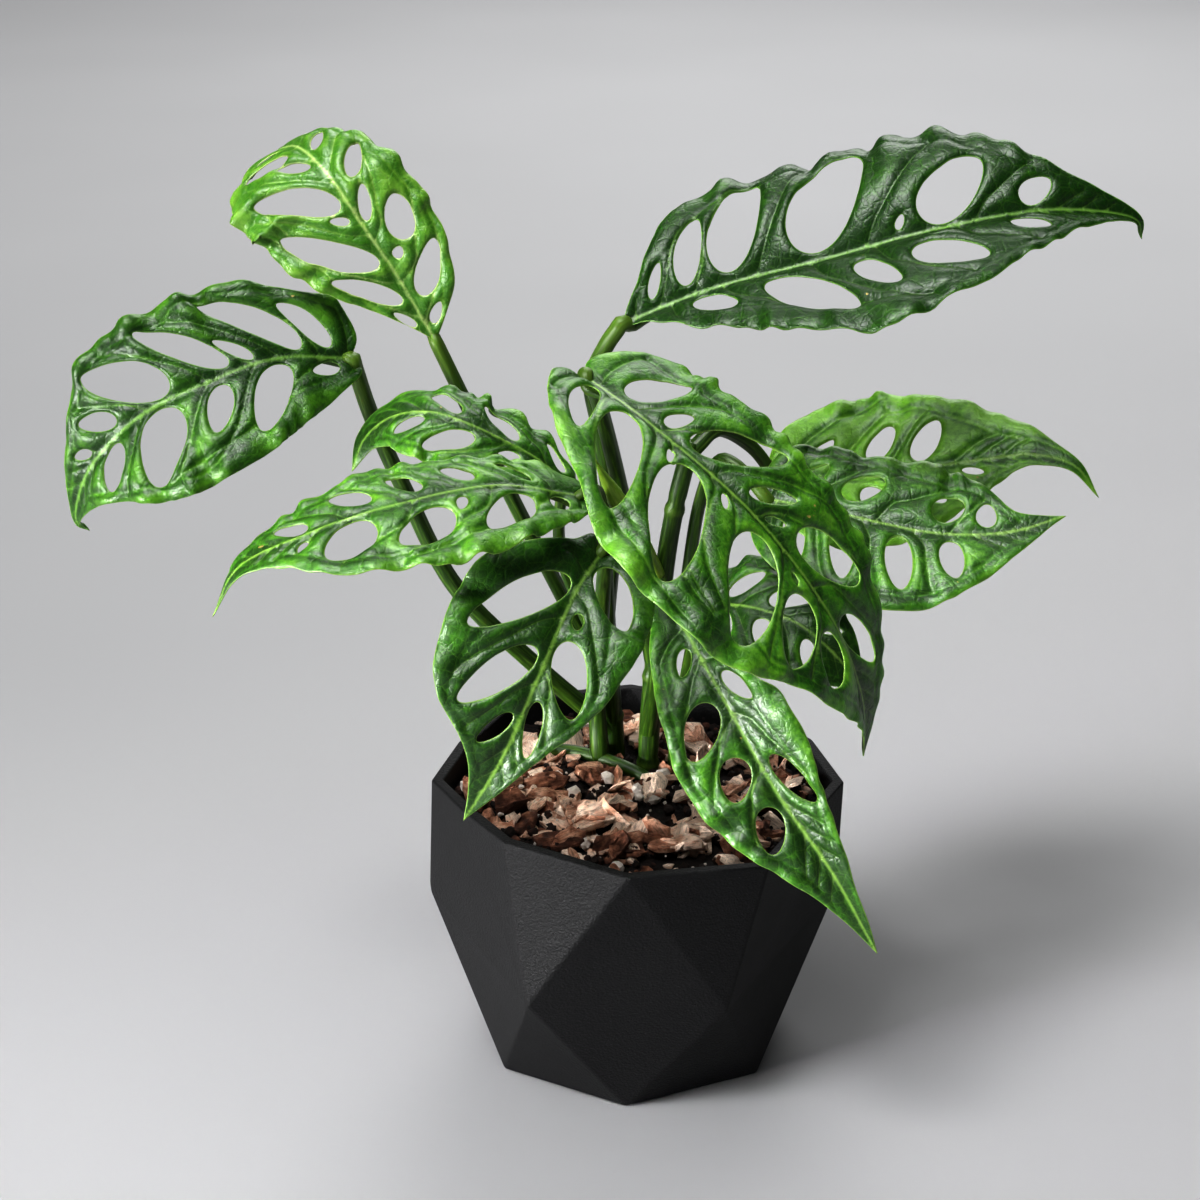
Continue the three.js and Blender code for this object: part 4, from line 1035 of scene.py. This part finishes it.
class Look:
    """A node material with one principled shader."""

    def __init__(self, name, roughness):
        self.material = bpy.data.materials.new(name)
        self.material.use_nodes = True
        self.tree = self.material.node_tree
        self.body = self.tree.nodes["Principled BSDF"]
        self.paint({"Roughness": roughness})

    def set(self, node, inputs):
        """Links from other sockets, or values; a colour gets an alpha of 1."""
        for key, value in inputs.items():
            socket = node.inputs[key]
            if isinstance(value, bpy.types.NodeSocket):
                self.tree.links.new(value, socket)
            else:
                socket.default_value = (*value, 1) if socket.type == "RGBA" else value

    def paint(self, inputs):
        self.set(self.body, inputs)

    def node(self, kind, output, inputs, **settings):
        """The output of a new node with these inputs."""
        node = self.tree.nodes.new("ShaderNode" + kind)
        for key, value in settings.items():
            setattr(node, key, value)
        self.set(node, inputs)
        return node.outputs[output]

    def value(self, name):
        return self.node("Attribute", "Fac", {}, attribute_name=name)

    def place(self, name, scale=(1, 1, 1)):
        at = self.node("Attribute", "Vector", {}, attribute_name=name)
        return self.node("Mapping", "Vector", {"Vector": at, "Scale": scale})

    def own_place(self):
        return self.node("TexCoord", "Object", {})

    def noise(self, at, scale, detail=3.0, rough=0.55, twist=0.0):
        inputs = {"Vector": at, "Scale": scale, "Detail": detail, "Roughness": rough, "Distortion": twist}
        return self.node("TexNoise", "Fac", inputs)

    def cells(self, at, scale):
        inputs = {"Vector": at, "Scale": scale}
        return self.node("TexVoronoi", "Distance", inputs, feature="DISTANCE_TO_EDGE")

    def ramp(self, value, stops):
        colour = self.node("ValToRGB", "Color", {"Fac": value})
        elements = colour.node.color_ramp.elements
        while len(elements) < len(stops):
            elements.new(0.5)
        for element, (position, tone) in zip(elements, stops):
            element.position = position
            element.color = (*tone, 1)
        return colour

    def span(self, value, low, high, to_low=0.0, to_high=1.0):
        inputs = {"Value": value, "From Min": low, "From Max": high, "To Min": to_low, "To Max": to_high}
        return self.node("MapRange", "Result", inputs)

    def mix(self, share, first, second):
        return self.node("Mix", 2, {0: share, 6: first, 7: second}, data_type="RGBA")

    def math(self, operation, first, second):
        return self.node("Math", 0, {0: first, 1: second}, operation=operation)

    def bump(self, height, distance, strength):
        inputs = {"Height": height, "Distance": distance, "Strength": strength}
        if self.body.inputs["Normal"].is_linked:
            inputs["Normal"] = self.body.inputs["Normal"].links[0].from_socket
        self.paint({"Normal": self.node("Bump", "Normal", inputs)})


def leaf_look(name, deep, mid, light, vein, under, roughness, gloss):
    look = Look(name, roughness)
    at = look.place("flat")
    broad = look.noise(at, 0.05, detail=4, rough=0.6, twist=0.5)
    fine = look.noise(at, 0.5, detail=4)
    # each blade's tone, partly its own colour and partly painted light and shade
    bright = look.math("MULTIPLY", look.value("bright"), 0.55)
    share = look.math("ADD", bright, look.span(broad, 0.3, 0.75, to_low=0, to_high=0.75))
    share = look.math("ADD", share, look.span(fine, 0.3, 0.7, to_low=-0.16, to_high=0.16))
    # painted shade: darker in the furrows along the veins and the midrib
    share = look.math("SUBTRACT", share, look.math("MULTIPLY", look.value("crease"), 0.36))
    tone = look.ramp(share, ((0.1, deep), (0.45, mid), (1.0, light)))
    large, small = look.cells(at, 0.2), look.cells(at, 0.5)
    tone = look.mix(look.span(large, 0, 0.06, to_low=0.13, to_high=0), tone, light)
    tone = look.mix(look.span(small, 0, 0.08, to_low=0.1, to_high=0), tone, light)
    tone = look.mix(look.span(look.value("vein"), 0.25, 0.95, to_high=0.85), tone, vein)
    # painted shade round the holes, in the underside's colour
    tone = look.mix(look.math("MULTIPLY", look.value("lip"), 0.35), tone, under)
    tone = look.mix(look.math("MULTIPLY", look.value("under"), 0.8), tone, under)
    tone = look.mix(look.span(look.noise(at, 0.16, detail=2), 0.77, 0.79), tone, TAN_SPOT)
    # painted highlight along the hole edges and the margin, in the vein colour
    tone = look.mix(look.span(look.value("edge"), 0.55, 1, to_high=0.8), tone, vein)
    look.paint({"Base Color": tone, "Subsurface Weight": 0.12, "Subsurface Scale": 0.003})
    look.paint({"Subsurface Radius": (0.5, 1.0, 0.15), "Specular IOR Level": gloss})
    look.bump(look.span(large, 0, 0.14), distance=0.00013, strength=0.6)
    look.bump(look.span(small, 0, 0.16), distance=0.00007, strength=0.6)
    return look.material


def stalk_look(name, dark, mid, pale):
    look = Look(name, roughness=0.42)
    at = look.place("grain", scale=(1, 1, 0.08))
    tone = look.ramp(look.noise(at, 0.9, detail=4), ((0.35, dark), (0.55, mid), (0.8, pale)))
    tone = look.mix(look.span(look.value("band"), 0.2, 1, to_high=0.55), tone, pale)
    look.paint({"Base Color": tone, "Subsurface Weight": 0.08, "Subsurface Scale": 0.003})
    look.bump(look.noise(at, 1.5), distance=0.0003, strength=0.5)
    return look.material


def pot_look(name):
    look = Look(name, roughness=0.6)
    at = look.own_place()
    cloud = look.noise(at, 26, detail=4, rough=0.6)
    speck = look.noise(at, 2600, detail=2, rough=0.5)
    tone = look.ramp(cloud, POT_TONES)
    tone = look.mix(look.span(speck, 0.66, 0.74, to_high=0.3), tone, POT_SPECK)
    rough = look.span(cloud, 0.3, 0.7, to_low=0.5, to_high=0.58)
    look.paint({"Base Color": tone, "Roughness": rough, "Specular IOR Level": 0.29})
    look.bump(look.noise(at, 1100, detail=4, rough=0.6), distance=0.0007, strength=0.8)
    look.bump(look.noise(at, 420), distance=0.0003, strength=0.3)
    return look.material


def mix_look(name):
    look = Look(name, roughness=0.82)
    tint = look.value("tint")
    streak = look.noise(look.place("grain", scale=(0.22, 1.2, 1.2)), 0.9, detail=6, rough=0.7, twist=0.6)
    patch = look.noise(look.place("grain"), 0.22, detail=4)
    shade = look.math("ADD", tint, look.span(patch, 0.3, 0.7, to_low=-0.13, to_high=0.13))
    tone = look.mix(look.span(streak, 0.47, 0.7, to_high=0.7), look.ramp(shade, BARK_TONES), BARK_STREAK)
    tone = look.mix(look.math("GREATER_THAN", tint, 0.9), tone, PERLITE_TONE)
    look.paint({"Base Color": tone})
    look.bump(streak, distance=0.0014, strength=0.8)
    look.bump(look.noise(look.place("grain"), 1.6, detail=4), distance=0.0006, strength=0.6)
    return look.material


# The plant

leaf_looks = {slot: leaf_look(slot, *values) for slot, values in LEAF_LOOKS.items()}
blades = {letter: Blade(data) for letter, data in BLADES.items()}
for seed, (letter, blade) in enumerate(blades.items()):
    slot = blade.data["slot"]
    name = "leaf_" + letter
    piece(name, blade_mesh(name, blade, seed), leaf_looks[slot], slot, "blade_" + letter)

stalk = stalk_look("stalk", *STALK_TONES)
for node, data in CANES.items():
    piece("stem_" + node, cane_mesh("stem_" + node, *data), stalk, "stem", node)
for letter, data in PETIOLES.items():
    name = "stalk_" + letter
    piece(name, petiole_mesh(name, data, blades[letter]), stalk, "stem", "petiole_" + letter)
line, _, radii = tapered(*RUNNER)
piece("stem_runner", tube_mesh("stem_runner", line, radii, CANE_FURROW), stalk, "stem", "runner")
spike = new_leaf_mesh("rolled_leaf", *NEW_LEAF)
piece("rolled_leaf", spike, stalk_look("young", *YOUNG_TONES), "leaf_light", "new_leaf")

piece("pot_shell", pot_mesh("pot_shell"), pot_look("charcoal"), "pot", "pot")
piece("bark_mix", mix_mesh("bark_mix"), mix_look("bark"), "potting_mix", "potting_mix")


# Floor, light and camera


def floor():
    mesh = bpy.data.meshes.new("floor")
    corners = [(x * FLOOR_REACH, y * FLOOR_REACH, 0) for x, y in ((-1, -1), (1, -1), (1, 1), (-1, 1))]
    mesh.from_pydata(corners, [], [(0, 1, 2, 3)])
    look = Look("floor", roughness=0.7)
    tone = look.mix(look.noise(look.own_place(), 2, detail=2), *FLOOR_TONES)
    look.paint({"Base Color": tone})
    mesh.materials.append(look.material)
    linked("floor", mesh)


def light(name, kind, at, target, settings):
    data = bpy.data.lights.new(name, kind)
    for key, value in settings.items():
        setattr(data, key, value)
    obj = linked(name, data)
    obj.location = at
    obj.rotation_euler = (Vector(target) - Vector(at)).to_track_quat("-Z", "Y").to_euler()


floor()
for name, values in LIGHTS.items():
    light(name, *values)
world = bpy.data.worlds.new("studio")
world.use_nodes = True
sky = world.node_tree.nodes["Background"].inputs
sky["Color"].default_value = WORLD_COLOUR
sky["Strength"].default_value = WORLD_POWER
scene = bpy.context.scene
scene.world = world
scene.view_settings.view_transform = "Standard"
scene.view_settings.gamma = GAMMA

camera = bpy.data.cameras.new("camera")
camera.lens = LENS
scene.camera = linked("camera", camera)
scene.camera.location = CAMERA_AT
scene.camera.rotation_euler = (math.radians(90 - CAMERA_PITCH), 0, 0)

bpy.context.view_layer.update()
